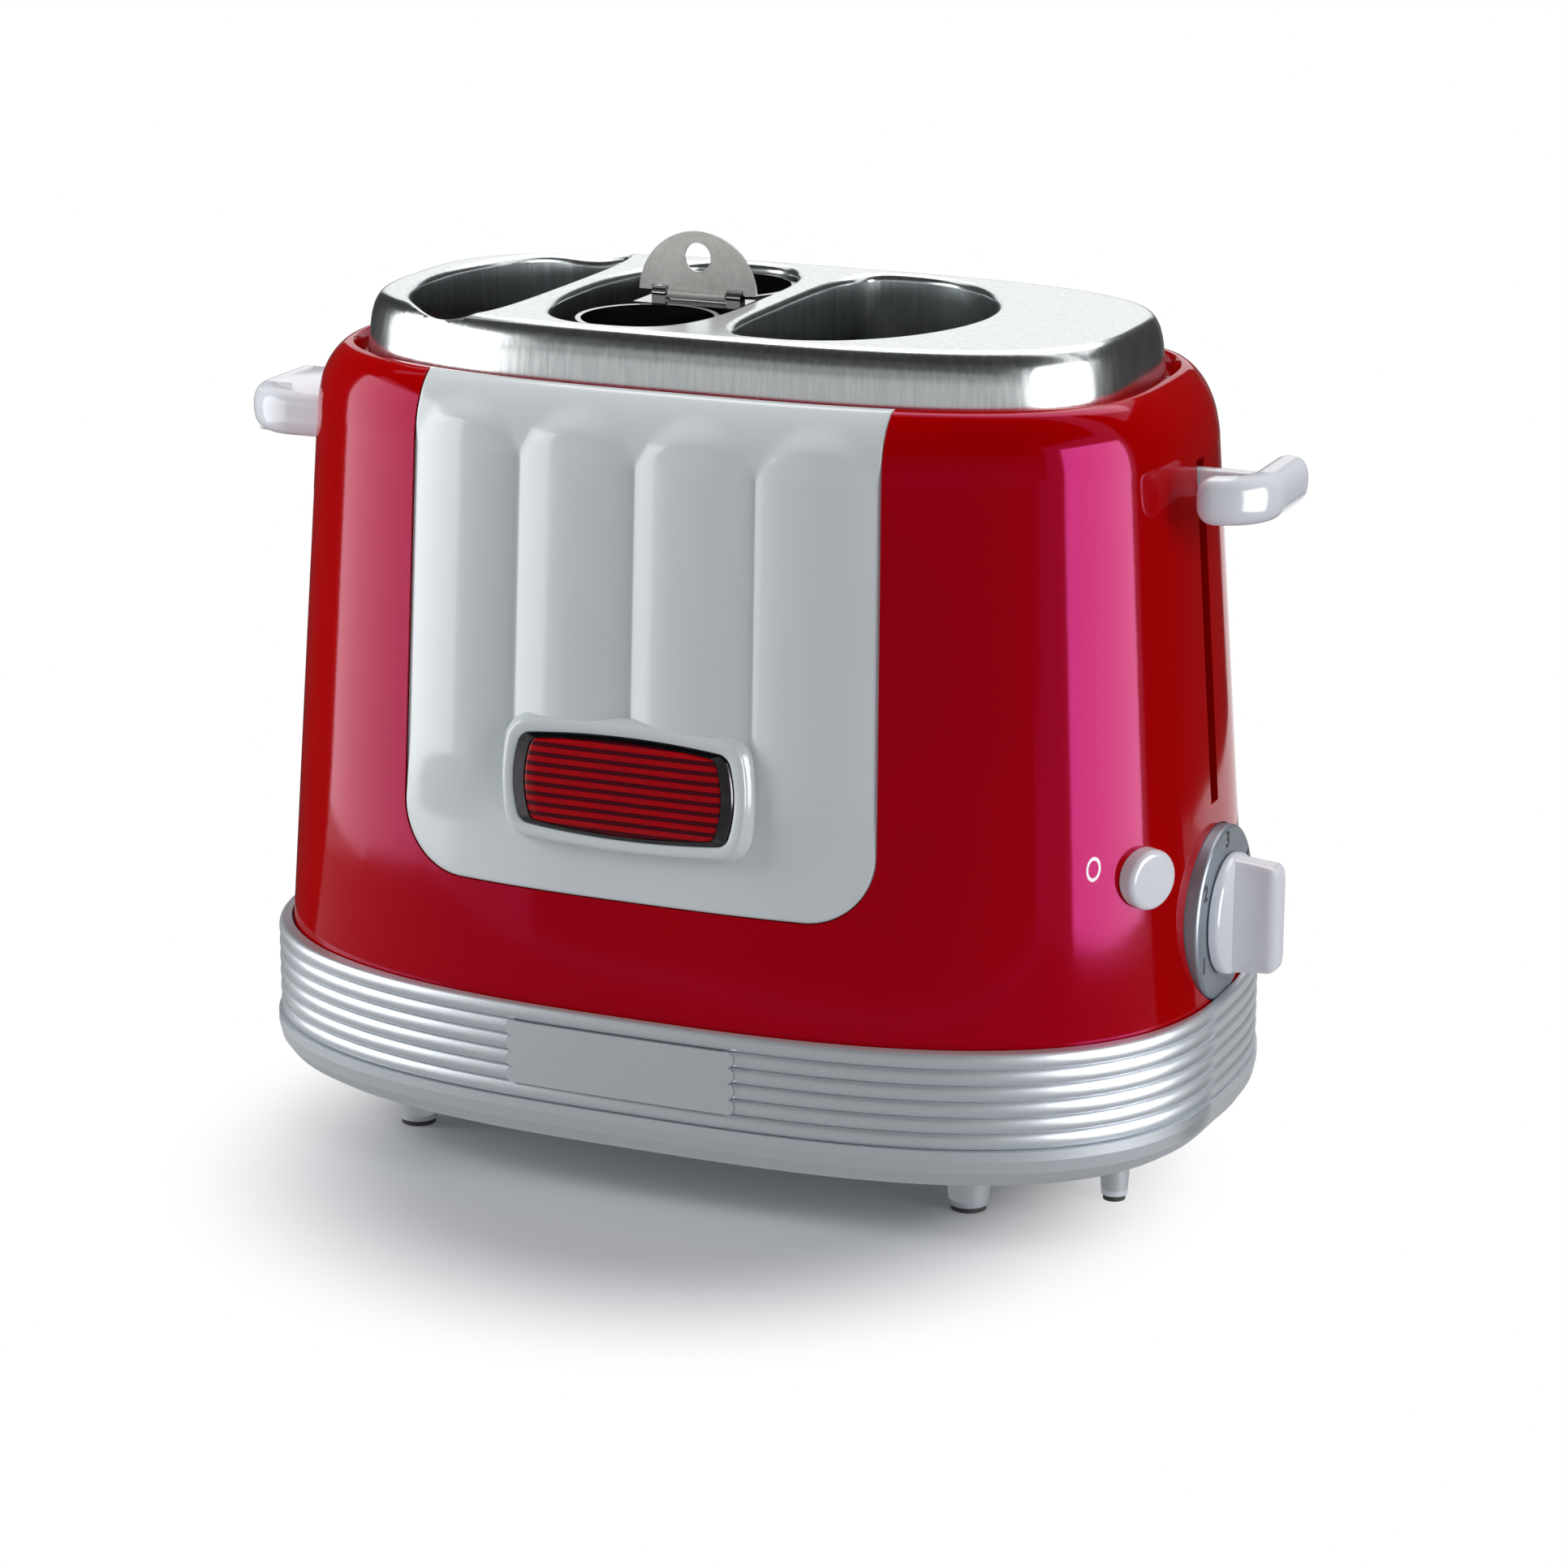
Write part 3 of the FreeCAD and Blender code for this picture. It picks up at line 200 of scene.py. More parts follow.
finish = {
    "body_shell": red, "front_panel": white, "badge_frame": dark_chrome, "badge_plate": badge_red,
    "base_ring": silver, "name_plate": silver, "bottom_cover": silver, "crumb_tray": silver,
    "cover_screws": bright, "foot_pads": rubber, "top_cap": steel, "base_plate": sheet,
    "bun_liner_left": sheet, "bun_liner_right": sheet, "end_plate_left": sheet, "end_plate_right": sheet,
    "heater_left_outer": mica, "heater_left_inner": mica, "heater_right_inner": mica,
    "heater_right_outer": mica, "heater_ribbons": ribbon, "guide_rods": bright, "latch_magnet": black,
    "control_board": circuit, "timer_switch": black, "dial_ring": dial_silver, "left_grip": small_white,
    "cord_bushing": black, "stop_switch": black, "carriage_frame": sheet, "bun_support_left": sheet,
    "bun_support_right": sheet, "basket_support": sheet, "carriage_sleeves": brass,
    "latch_armature": sheet, "lever_bar": sheet, "lever_knob": small_white, "return_springs": bright,
    "basket_tube_front": bright, "basket_tube_rear": bright, "basket_floor": bright,
    "feet": silver, "cap_skirt": steel, "cap_lip_left": steel, "cap_lip_middle": steel,
    "cap_lip_right": steel,
    "basket_bridge": bright, "basket_tab": satin, "tab_pin": bright, "timer_knob": small_white,
    "timer_shaft": sheet, "stop_button": small_white,
}
for name, mat in finish.items():
    ob = nodes[name]
    ob.data.materials.clear()
    ob.data.materials.append(mat)


# ---------------------------------------------------------------- mesh tools
def power(a, b, n, t):
    c = math.cos(t)
    s = math.sin(t)
    return (a * math.copysign(abs(c) ** (2.0 / n), c), b * math.copysign(abs(s) ** (2.0 / n), s))


# Angles that give even steps of length round an oval of those proportions.
def even_angles(a, b, n, count):
    fine = 4000
    pts = [power(a, b, n, 2.0 * math.pi * i / fine) for i in range(fine + 1)]
    run = [0.0]
    for p, q in zip(pts, pts[1:]):
        run.append(run[-1] + math.hypot(q[0] - p[0], q[1] - p[1]))
    out = []
    j = 0
    for k in range(count):
        want = run[-1] * k / count
        while run[j + 1] < want:
            j += 1
        out.append(2.0 * math.pi * (j + (want - run[j]) / max(1e-9, run[j + 1] - run[j])) / fine)
    return out


ANGLES = even_angles(BODY_A, BODY_B, BODY_N, AROUND)


def oval(a, b, n, z):
    return [Vector((*power(a, b, n, t), z)) * MM for t in ANGLES]


# Outline of an opening in the cap: half of one oval and half of another.
def opening(spec, grow, z):
    middle, left_a, left_n, right_a, right_n = spec
    half = OPEN_HALF + grow
    right = even_angles(right_a + grow, half, right_n, OPENING_STEPS * 2)
    left = even_angles(left_a + grow, half, left_n, OPENING_STEPS * 2)
    quarter = OPENING_STEPS // 4
    pts = []
    for i in range(OPENING_STEPS):
        if i < quarter or i >= 3 * quarter:
            x, y = power(right_a + grow, half, right_n, right[2 * i])
        else:
            x, y = power(left_a + grow, half, left_n, left[2 * i])
        pts.append(Vector((middle + x, y, z)) * MM)
    return pts


# Even steps round a circle.
def turns(count):
    return [2 * math.pi * i / count for i in range(count)]


def loop(bm, pts):
    return [bm.verts.new(p) for p in pts]


def bridge(bm, low, high):
    n = len(low)
    for i in range(n):
        j = (i + 1) % n
        bm.faces.new((low[i], low[j], high[j], high[i]))


def loft(bm, rows, closed=False):
    loops = [loop(bm, r) for r in rows]
    for low, high in zip(loops, loops[1:]):
        bridge(bm, low, high)
    if closed:
        bridge(bm, loops[-1], loops[0])
    return loops


def capped_loft(bm, rows):
    loops = loft(bm, rows)
    bm.faces.new(loops[0])
    bm.faces.new(loops[-1])


# Closed slab between two grids of vertices.
def slab(bm, outer, inner):
    last = len(outer[0]) - 1
    for grid in (outer, inner):
        for a, b in zip(grid, grid[1:]):
            for i in range(last):
                bm.faces.new((a[i], a[i + 1], b[i + 1], b[i]))
    for i in range(last):
        for row in (0, -1):
            bm.faces.new((outer[row][i], outer[row][i + 1], inner[row][i + 1], inner[row][i]))
    for k in range(len(outer) - 1):
        for i in (0, last):
            bm.faces.new((outer[k][i], outer[k + 1][i], inner[k + 1][i], inner[k][i]))


def piece(name, bm, mat, sharp=35.0):
    bmesh.ops.recalc_face_normals(bm, faces=bm.faces)
    me = bpy.data.meshes.new(name)
    bm.to_mesh(me)
    bm.free()
    ob = bpy.data.objects.new(name, me)
    bpy.context.scene.collection.objects.link(ob)
    me.materials.append(mat)
    smooth(me, sharp)
    return ob


def smooth(me, sharp):
    me.shade_smooth()
    me.set_sharp_from_angle(angle=math.radians(sharp))


def cut(ob, cutter, sharp=35.0):
    mod = ob.modifiers.new("cut", "BOOLEAN")
    mod.operation = "DIFFERENCE"
    mod.solver = "EXACT"
    mod.object = cutter
    graph = bpy.context.evaluated_depsgraph_get()
    me = bpy.data.meshes.new_from_object(ob.evaluated_get(graph))
    ob.modifiers.clear()
    old = ob.data
    ob.data = me
    me.name = old.name
    bpy.data.meshes.remove(old)
    bpy.data.objects.remove(cutter)
    smooth(ob.data, sharp)


def lerp_table(table, u):
    if u <= table[0][0]:
        return table[0][1]
    for k, ((u0, v0), (u1, v1)) in enumerate(zip(table, table[1:])):
        if u <= u1:
            h = u1 - u0
            s = (u - u0) / h
            before = table[k - 1]
            after = table[k + 2] if k + 2 < len(table) else (u1 + h, v1 + (v1 - v0) * 1.6)
            m0 = (v1 - before[1]) / (u1 - before[0]) * h if k else 0.0
            m1 = (after[1] - v0) / (after[0] - u0) * h
            return ((2 * s ** 3 - 3 * s ** 2 + 1) * v0 + (s ** 3 - 2 * s ** 2 + s) * m0
                    + (3 * s ** 2 - 2 * s ** 3) * v1 + (s ** 3 - s ** 2) * m1)
    return table[-1][1]


def body_section(z, inset=0.0):
    zl = min(z, SHOULDER_Z)
    drop = lerp_table(SHOULDER, z - SHOULDER_Z) + inset
    up = max(0.0, z - SHOULDER_Z) / (CREST_Z - SHOULDER_Z)
    return (BODY_A - BODY_DRAFT_A * (zl - LEDGE_Z) - drop, BODY_B - BODY_DRAFT_B * (zl - LEDGE_Z) - drop,
            BODY_N + (CREST_N - BODY_N) * up * up, z)


def body_y(x, z):
    a, b, n, _ = body_section(z)
    return b * max(0.0, 1.0 - abs(x / a) ** n) ** (1.0 / n)


# ---------------------------------------------------------------- red housing
def panel_half(z):
    return PANEL_HALF_TOP + (PANEL_HALF_LOW - PANEL_HALF_TOP) * (CREST_Z - z) / (CREST_Z - PANEL_LOW)


# Half width of the panel's outline at a height, with its round lower corners.
def panel_reach(z, grow=0.0):
    low = PANEL_LOW - grow
    r = PANEL_CORNER + grow
    h = panel_half(z) + grow
    if z >= low + r:
        return h
    return h - r + math.sqrt(max(0.0, r * r - (low + r - z) ** 2))


def panel_rows(grow=0.0):
    low = PANEL_LOW - grow
    r = PANEL_CORNER + grow
    rows = [low + r * (1.0 - math.cos(0.5 * math.pi * i / 22)) for i in range(22)]
    rows += [low + r + (SHOULDER_Z - low - r) * i / 62 for i in range(62)]
    rows += [SHOULDER_Z + (CREST_Z - SHOULDER_Z) * i / 26 for i in range(27)]
    return rows


def panel_cutter():
    bm = bmesh.new()
    cols = 48
    rows = panel_rows(PANEL_GAP)
    rows[-1] = CREST_Z + 4.0
    outer = []
    inner = []
    for z in rows:
        reach = panel_reach(z, PANEL_GAP)
        xs = [FRONT_X + reach * (2 * i / cols - 1) for i in range(cols + 1)]
        outer.append(loop(bm, [Vector((x, -110.0, z)) * MM for x in xs]))
        inner.append(loop(bm, [Vector((x, PANEL_RECESS - body_y(x, min(z, CREST_Z)), z)) * MM for x in xs]))
    slab(bm, outer, inner)
    return piece("panel_cutter", bm, red)


def box_cutter(name, at, size):
    bm = bmesh.new()
    bmesh.ops.create_cube(bm, size=1.0)
    bm.transform(Matrix.Translation(Vector(at) * MM) @ Matrix.Diagonal((*[s * MM for s in size], 1)))
    return piece(name, bm, red)


# Round cutter that lies along X, then turned by an angle about Z.
def drum_cutter(name, radius, length, at, angle=0.0):
    bm = bmesh.new()
    bmesh.ops.create_cone(bm, cap_ends=True, segments=96, radius1=radius * MM, radius2=radius * MM,
                          depth=length * MM)
    bm.transform(Matrix.Translation(Vector(at) * MM) @ Matrix.Rotation(math.radians(angle), 4, "Z")
                 @ Matrix.Rotation(math.pi / 2, 4, "Y"))
    return piece(name, bm, red)


def housing():
    bm = bmesh.new()
    crest = body_section(CREST_Z)
    under = WELL_Z - SHELL_WALL
    sections = [body_section(LEDGE_Z + (SHOULDER_Z - LEDGE_Z) * i / 46) for i in range(46)]
    sections += [body_section(SHOULDER_Z + (CREST_Z - 0.5 - SHOULDER_Z) * i / 19) for i in range(20)]
    sections += [
        (crest[0] - 0.5, crest[1] - 0.8, CREST_N, CREST_Z - 0.05),
        (WELL_A + 0.4, WELL_B + 0.6, CREST_N, CREST_Z - 0.05),
        (WELL_A, WELL_B, CREST_N, CREST_Z - 0.7),
        (WELL_A - 0.6, WELL_B - 0.6, CREST_N, WELL_Z + 2.6),
        (WELL_A - 1.0, WELL_B - 1.0, CREST_N, WELL_Z + 0.8),
        (WELL_A - 1.8, WELL_B - 1.8, CREST_N, WELL_Z),
        (THROAT_A, THROAT_B, CAP_N, WELL_Z),
        (THROAT_A, THROAT_B, CAP_N, under),
    ]
    sections += [body_section(under - (under - SHOULDER_Z) * i / 8, SHELL_WALL) for i in range(9)]
    sections += [body_section(SHOULDER_Z - (SHOULDER_Z - LEDGE_Z) * i / 12, SHELL_WALL)
                 for i in range(1, 13)]
    loft(bm, [oval(*section) for section in sections], closed=True)
    ob = piece("red_housing", bm, red)
    cut(ob, panel_cutter())
    cut(ob, box_cutter("slot_cutter", (BODY_A - 8, 0, (SLOT_LOW + SLOT_TOP) / 2),
                       (40, 2 * SLOT_HALF, SLOT_TOP - SLOT_LOW)))
    cut(ob, drum_cutter("dial_cutter", DIAL_R + 0.3, 40, (BODY_A + 4, 0, DIAL_Z)))
    cut(ob, drum_cutter("button_cutter", BUTTON_R + 0.3, 24, BUTTON_AT, BUTTON_ANGLE))
    cut(ob, box_cutter("inlet_cutter", (72, 80, 62), (24, 40, 12)))
    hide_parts("body_shell")
    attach(ob, "housing")


# ---------------------------------------------------------------- white panel
# How far the flutes stand out at a point. They arch at the top, fade below, and leave the badge free.
def flute_height(x, z):
    half = panel_half(z)
    u = (x - FRONT_X + half) / (2.0 * half) * FLUTES
    if u <= 0 or u >= FLUTES:
        return 0.0
    w = 2.0 * (u - math.floor(u)) - 1.0
    crown = 1.0 - w * w
    top = min(1.0, max(0.0, (FLUTE_TOP - FLUTE_ARCH * w * w - z) / FLUTE_END))
    low = min(1.0, max(0.0, (z - FLUTE_LOW) / FLUTE_FADE))
    ease = top * top * (3 - 2 * top) * low * low * (3 - 2 * low)
    near = (abs(x - FRONT_X) / (BADGE_W / 2 + 2)) ** 5 + (abs(z - BADGE_Z) / (BADGE_H / 2 + 2)) ** 5
    if near < 1.0:
        ease *= max(0.0, near - 0.6) / 0.4
    return FLUTE_DEPTH * ease * (crown - 0.25)


# Distance from a point on the panel to its outline.
def edge_distance(x, z):
    side = panel_half(z) - abs(x - FRONT_X)
    low = z - PANEL_LOW
    if side < PANEL_CORNER and low < PANEL_CORNER:
        return PANEL_CORNER - math.hypot(PANEL_CORNER - side, PANEL_CORNER - low)
    return min(side, low)


# How far the round edge has dropped back at that distance.
def edge_dip(d):
    r = PANEL_EDGE
    if d >= r:
        return 0.0
    return r - math.sqrt(max(0.0, r * r - (r - max(0.0, d)) ** 2))


def front_panel():
    bm = bmesh.new()
    span = 160
    steps = [0.0, 0.25, 0.55, 0.95, 1.6]
    rows = panel_rows()
    rows = [PANEL_LOW, PANEL_LOW + 0.2] + rows[1:]
    outer = []
    inner = []
    for z in rows:
        reach = panel_reach(z)
        core = reach - steps[-1]
        across = [-reach + s for s in steps[:-1]]
        across += [-core + 2 * core * i / span for i in range(span + 1)]
        across += [reach - s for s in reversed(steps[:-1])]
        xs = [FRONT_X + x for x in across]
        front = [-body_y(x, z) - flute_height(x, z) + edge_dip(edge_distance(x, z)) for x in xs]
        outer.append(loop(bm, [Vector((x, y, z)) * MM for x, y in zip(xs, front)]))
        inner.append(loop(bm, [Vector((x, PANEL_T - body_y(x, z), z)) * MM for x in xs]))
    slab(bm, outer, inner)
    ob = piece("fluted_panel", bm, white, 50.0)
    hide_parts("front_panel")
    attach(ob, "housing")


# Outline of the badge: four shallow arcs with rounded corners, in the plane of its face.
def badge_outline(grow, steps=14):
    x = BADGE_W / 2 + grow
    t = BADGE_H / 2 + grow
    e = BADGE_END_H / 2 + grow
    r = max(1.0, BADGE_CORNER + grow)
    big = ((x - BADGE_BOW) ** 2 + (t - e) ** 2) / (2 * (t - e))
    end = (e * e + BADGE_BOW ** 2) / (2 * BADGE_BOW)
    top = Vector((0.0, t - big))
    side = Vector((x - end, 0.0))
    gap = (top - side).length
    along = ((end - r) ** 2 - (big - r) ** 2 + gap * gap) / (2 * gap)
    off = math.sqrt(max(0.0, (end - r) ** 2 - along * along))
    d = (top - side).normalized()
    corner = max((side + d * along + Vector((-d.y, d.x)) * s * off for s in (-1, 1)),
                 key=lambda p: p.x + p.y)
    a_side = math.atan2(corner.y, corner.x - side.x)
    a_top = math.atan2(corner.y - top.y, corner.x)
    quarter = [side + Vector((math.cos(a), math.sin(a))) * end for a in
               [a_side * k / steps for k in range(steps)]]
    quarter += [corner + Vector((math.cos(a), math.sin(a))) * r for a in
                [a_side + (a_top - a_side) * k / steps for k in range(steps)]]
    quarter += [top + Vector((math.cos(a), math.sin(a))) * big for a in
                [a_top + (math.pi / 2 - a_top) * k / (2 * steps) for k in range(2 * steps + 1)]]
    pts = quarter[:-1]
    pts += [Vector((-p.x, p.y)) for p in reversed(quarter[1:])]
    pts += [Vector((-p.x, -p.y)) for p in quarter[:-1]]
    pts += [Vector((p.x, -p.y)) for p in reversed(quarter[1:])]
    return pts


# A point of the badge's plane, proud of the housing's front by that much.
def on_badge(p, proud):
    lean = math.atan(BODY_DRAFT_B)
    y = -body_y(FRONT_X, BADGE_Z)
    return Vector((FRONT_X + p.x, y - proud * math.cos(lean) + p.y * math.sin(lean),
                   BADGE_Z + p.y * math.cos(lean) + proud * math.sin(lean))) * MM


# White border that carries the badge, with a soft foot and a recess for the frame.
def badge_boss():
    bm = bmesh.new()
    face = BADGE_PROUD
    prof = [(BOSS_MARGIN + 1.4, -1.5), (BOSS_MARGIN + 1.0, 0.2), (BOSS_MARGIN + 0.45, 1.2)]
    for k in range(7):
        a = 0.5 * math.pi * k / 6
        prof.append((BOSS_MARGIN - BOSS_ROUND + BOSS_ROUND * math.cos(a),
                     face - BOSS_ROUND + BOSS_ROUND * math.sin(a)))
    prof += [(0.55, face), (0.3, face - 0.25), (0.3, face - BADGE_T)]
    capped_loft(bm, [[on_badge(p, proud) for p in badge_outline(g)] for g, proud in prof])
    ob = piece("badge_boss", bm, white, 50.0)
    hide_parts("front_panel")
    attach(ob, "housing")


# Outline of the red plate. The frame round it is thin at top and bottom and wider at the ends.
def plate_outline(shrink=1.0):
    wide = (BADGE_W / 2 - 3.1) / (BADGE_W / 2 - 0.9)
    return [Vector((p.x * wide * shrink, p.y * shrink)) for p in badge_outline(-0.9)]


def badge_frame():
    bm = bmesh.new()
    outside = [(-0.1, -BADGE_T), (0.0, -0.1), (-0.25, 0.2)]
    rows = [[on_badge(p, BADGE_PROUD + rise) for p in badge_outline(grow)] for grow, rise in outside]
    rows += [[on_badge(p, BADGE_PROUD + rise) for p in plate_outline()] for rise in (0.5, -1.2)]
    capped_loft(bm, rows)
    ob = piece("chrome_frame", bm, dark_chrome, 30.0)
    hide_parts("badge_frame")
    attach(ob, "housing")


# Red plate with a low dome.
def badge_plate():
    bm = bmesh.new()
    fit = 0.995
    rows = [[on_badge(p, BADGE_PROUD - 1.0) for p in plate_outline(fit)]]
    for k in range(12):
        a = 0.5 * math.pi * k / 12
        rise = 0.15 + 0.75 * math.sin(a) ** 0.8
        shrink = max(0.03, fit * math.cos(a) ** 0.35)
        rows.append([on_badge(p, BADGE_PROUD + rise) for p in plate_outline(shrink)])
    capped_loft(bm, rows)
    ob = piece("domed_plate", bm, badge_red, 60.0)
    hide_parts("badge_plate")
    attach(ob, "housing")


# ---------------------------------------------------------------- steel cap
def inside(p, ring):
    hit = False
    for a, b in zip(ring, ring[1:] + ring[:1]):
        if (a.y > p.y) != (b.y > p.y) and p.x < (b.x - a.x) * (p.y - a.y) / (b.y - a.y) + a.x:
            hit = not hit
    return hit


# Sheet between an outer ring of vertices and the rings of its holes. Loose points inside
# get the height that rise() gives them.
def fill(bm, outer, holes, flat, loose=(), rise=None):
    rings = [outer] + holes
    verts = [v for ring in rings for v in ring]
    plan = [flat(v.co) for v in verts]
    outlines = []
    edges = []
    start = 0
    for ring in rings:
        n = len(ring)
        edges += [(start + i, start + (i + 1) % n) for i in range(n)]
        outlines.append(plan[start:start + n])
        start += n
    for p in loose:
        if inside(p, outlines[0]) and not any(inside(p, h) for h in outlines[1:]):
            plan.append(p)
            verts.append(bm.verts.new((p.x, p.y, rise(p))))
    _, _, tris, origin, _, _ = delaunay_2d_cdt(plan, edges, [], 0, 1e-9)
    for tri in tris:
        mid = sum((plan[origin[k][0]] for k in tri), Vector((0, 0))) / 3
        if inside(mid, outlines[0]) and not any(inside(mid, h) for h in outlines[1:]):
            bm.faces.new([verts[origin[k][0]] for k in tri])


def in_plan(co):
    return Vector((co.x, co.y))


def in_front(co):
    return Vector((co.x, co.z))


# How far a point of the cap lies inside its lower outline, and the height there.
def cap_inset(x, y):
    low, high = 0.0, 40.0
    for _ in range(26):
        mid = 0.5 * (low + high)
        if (abs(x) / (CAP_A - mid)) ** CAP_N + (abs(y) / (CAP_B - mid)) ** CAP_N < 1.0:
            low = mid
        else:
            high = mid
    return low


def cap_height(x, y):
    return WELL_Z + lerp_table(CAP_ROUND, cap_inset(x / MM, y / MM))


def steel_cap():
    bm = bmesh.new()
    rows = []
    for i in range(27):
        u = CAP_SIDE_TOP * i / 26
        drop = lerp_table(CAP_SIDE, u)
        rows.append(oval(CAP_A - drop, CAP_B - drop, CAP_N, WELL_Z + u))
    outside = loft(bm, rows)
    tops = []
    for spec in OPENINGS:
        start = opening(spec, LIP_ROUND, CAP_TOP)
        heights = [cap_height(p.x, p.y) for p in start]
        rings = []
        for k in range(9):
            ang = 0.5 * math.pi * k / 8
            dip = LIP_ROUND * (1 - math.cos(ang))
            row = opening(spec, LIP_ROUND * (1 - math.sin(ang)), 0.0)
            rings.append([Vector((p.x, p.y, (h - dip) * MM)) for p, h in zip(row, heights)])
        rings.append(opening(spec, 0.0, CAP_TOP - 6.0))
        rings.append(opening(spec, 0.0, CAP_TOP - LIP_DEPTH))
        tops.append(loft(bm, rings)[0])
    loose = []
    for inset in CAP_INSETS:
        loose += [p.xy for p in oval(CAP_A - inset, CAP_B - inset, CAP_N, 0.0)]
    for spec in OPENINGS:
        for grow in (LIP_ROUND + 0.6, LIP_ROUND + 1.4):
            loose += [p.xy for p in opening(spec, grow, 0.0)]
    fill(bm, outside[-1], tops, in_plan, loose, lambda p: cap_height(p.x, p.y) * MM)
    ob = piece("steel_cap", bm, steel, 60.0)
    thick = ob.modifiers.new("sheet", "SOLIDIFY")
    thick.thickness = SHEET * MM
    thick.offset = -1.0
    ob.data = bpy.data.meshes.new_from_object(ob.evaluated_get(bpy.context.evaluated_depsgraph_get()))
    ob.modifiers.clear()
    smooth(ob.data, 60.0)
    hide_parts("top_cap", "cap_skirt", "cap_lip_left", "cap_lip_middle", "cap_lip_right")
    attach(ob, "housing")


# ---------------------------------------------------------------- base band
def base_band():
    bm = bmesh.new()
    pitch = (RING_TOP - TRAY_TOP) / BEADS
    rows = [oval(BASE_A - 0.3, BASE_B - 0.3, BASE_N, TRAY_TOP)]
    for i in range(BEADS):
        mid = TRAY_TOP + (i + 0.5) * pitch
        for k in range(11):
            ang = math.radians(-84 + 168 * k / 10)
            out = BEAD_DEPTH * math.cos(ang) ** 0.8 - 0.2
            rows.append(oval(BASE_A + out, BASE_B + out, BASE_N, mid + pitch / 2.0 * math.sin(ang)))
    rows.append(oval(BASE_A - 0.4, BASE_B - 0.4, BASE_N, RING_TOP))
    for out, z in ((0.3, RING_TOP), (0.3, LEDGE_Z), (-LEDGE_W, LEDGE_Z), (-LEDGE_W, TRAY_TOP)):
        rows.append(oval(BODY_A + out, BODY_B + out, BODY_N, z))
    loft(bm, rows, closed=True)
    ob = piece("beaded_band", bm, silver)
    cut(ob, plate_cutter(pitch))
    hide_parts("base_ring")
    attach(ob, "housing")


# Cuts the middle beads away where the plain plate sits, with a round end at each bead.
def plate_cutter(pitch):
    half = PLATE_W / 2.0
    pts = []
    for side, z in ((1, TRAY_TOP + pitch), (-1, RING_TOP - pitch)):
        pts += [(FRONT_X - side * half, z), (FRONT_X + side * half, z)]
        for i in range(1, BEADS - 1)[::side]:
            mid = TRAY_TOP + (i + 0.5) * pitch
            for k in range(1, 10):
                ang = math.radians(18 * k - 90 * side)
                pts.append((FRONT_X + side * half + pitch / 2 * math.cos(ang),
                            mid + pitch / 2 * math.sin(ang)))
    bm = bmesh.new()
    near = loop(bm, [Vector((x, -100.0, z)) * MM for x, z in pts])
    far = loop(bm, [Vector((x, -(BASE_B - 1.2), z)) * MM for x, z in pts])
    bridge(bm, near, far)
    fill(bm, near, [], in_front)
    fill(bm, far, [], in_front)
    return piece("plate_cutter", bm, silver)


# ---------------------------------------------------------------- handles and knob
def rounded_block(bm, low, high):
    size = [(b - a) * MM for a, b in zip(low, high)]
    mid = [(a + b) / 2 * MM for a, b in zip(low, high)]
    made = bmesh.ops.create_cube(bm, size=1.0, matrix=Matrix.Translation(mid) @ Matrix.Diagonal((*size, 1)))
    edges = list({e for v in made["verts"] for e in v.link_edges})
    bmesh.ops.bevel(bm, geom=edges, offset=BLOCK_ROUND * MM, segments=4, profile=0.5, affect="EDGES")


# Centre line of a paddle, from its front leg round the corner to its outer tip: place, heading,
# and the way behind and ahead.
def paddle_path(start):
    count = 60
    r = PADDLE_CORNER - PADDLE_T / 2
    x1 = PADDLE_OUT - PADDLE_CORNER
    y1 = PADDLE_FRONT + PADDLE_T / 2
    run = x1 - start
    arc = 0.5 * math.pi * r
    leg = PADDLE_BACK - (y1 + r)
    total = run + arc + leg
    out = []
    for i in range(count + 1):
        d = total * 0.5 * (1 - math.cos(math.pi * i / count))
        if d < run:
            out.append((start + d, y1, 0.0, d, total - d))
        elif d < run + arc:
            a = (d - run) / r
            out.append((x1 + r * math.sin(a), y1 + r * (1 - math.cos(a)), a, d, total - d))
        else:
            out.append((x1 + r, y1 + r + d - run - arc, 0.5 * math.pi, d, total - d))
    return out


# Share of the full thickness that a round end has, that far from its tip.
def end_share(way):
    return math.sqrt(max(0.0, 1 - (1 - min(1.0, way / (PADDLE_T / 2))) ** 2))


# A paddle with a round tip, and a round start too if it stands clear there. A block joins it to
# its neck or fills it.
def paddle(name, node, body, start, z_mid, side, round_start, block):
    bm = bmesh.new()
    least = 0.02
    rows = []
    for x, y, a, before, after in paddle_path(start):
        k = max(least, min(end_share(after), end_share(before) if round_start else 1.0))
        wide = PADDLE_T / 2 * k
        tall = PADDLE_H / 2 * (0.25 + 0.75 * k if k > least else 0.1)
        section = [power(wide, tall, PADDLE_N, t) for t in turns(40)]
        rows.append([Vector((side * (x - p * math.sin(a)), y + p * math.cos(a), z_mid + q)) * MM
                     for p, q in section])
    capped_loft(bm, rows)
    rounded_block(bm, *block)
    ob = piece(name, bm, small_white, 60.0)
    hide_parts(node)
    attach(ob, body)


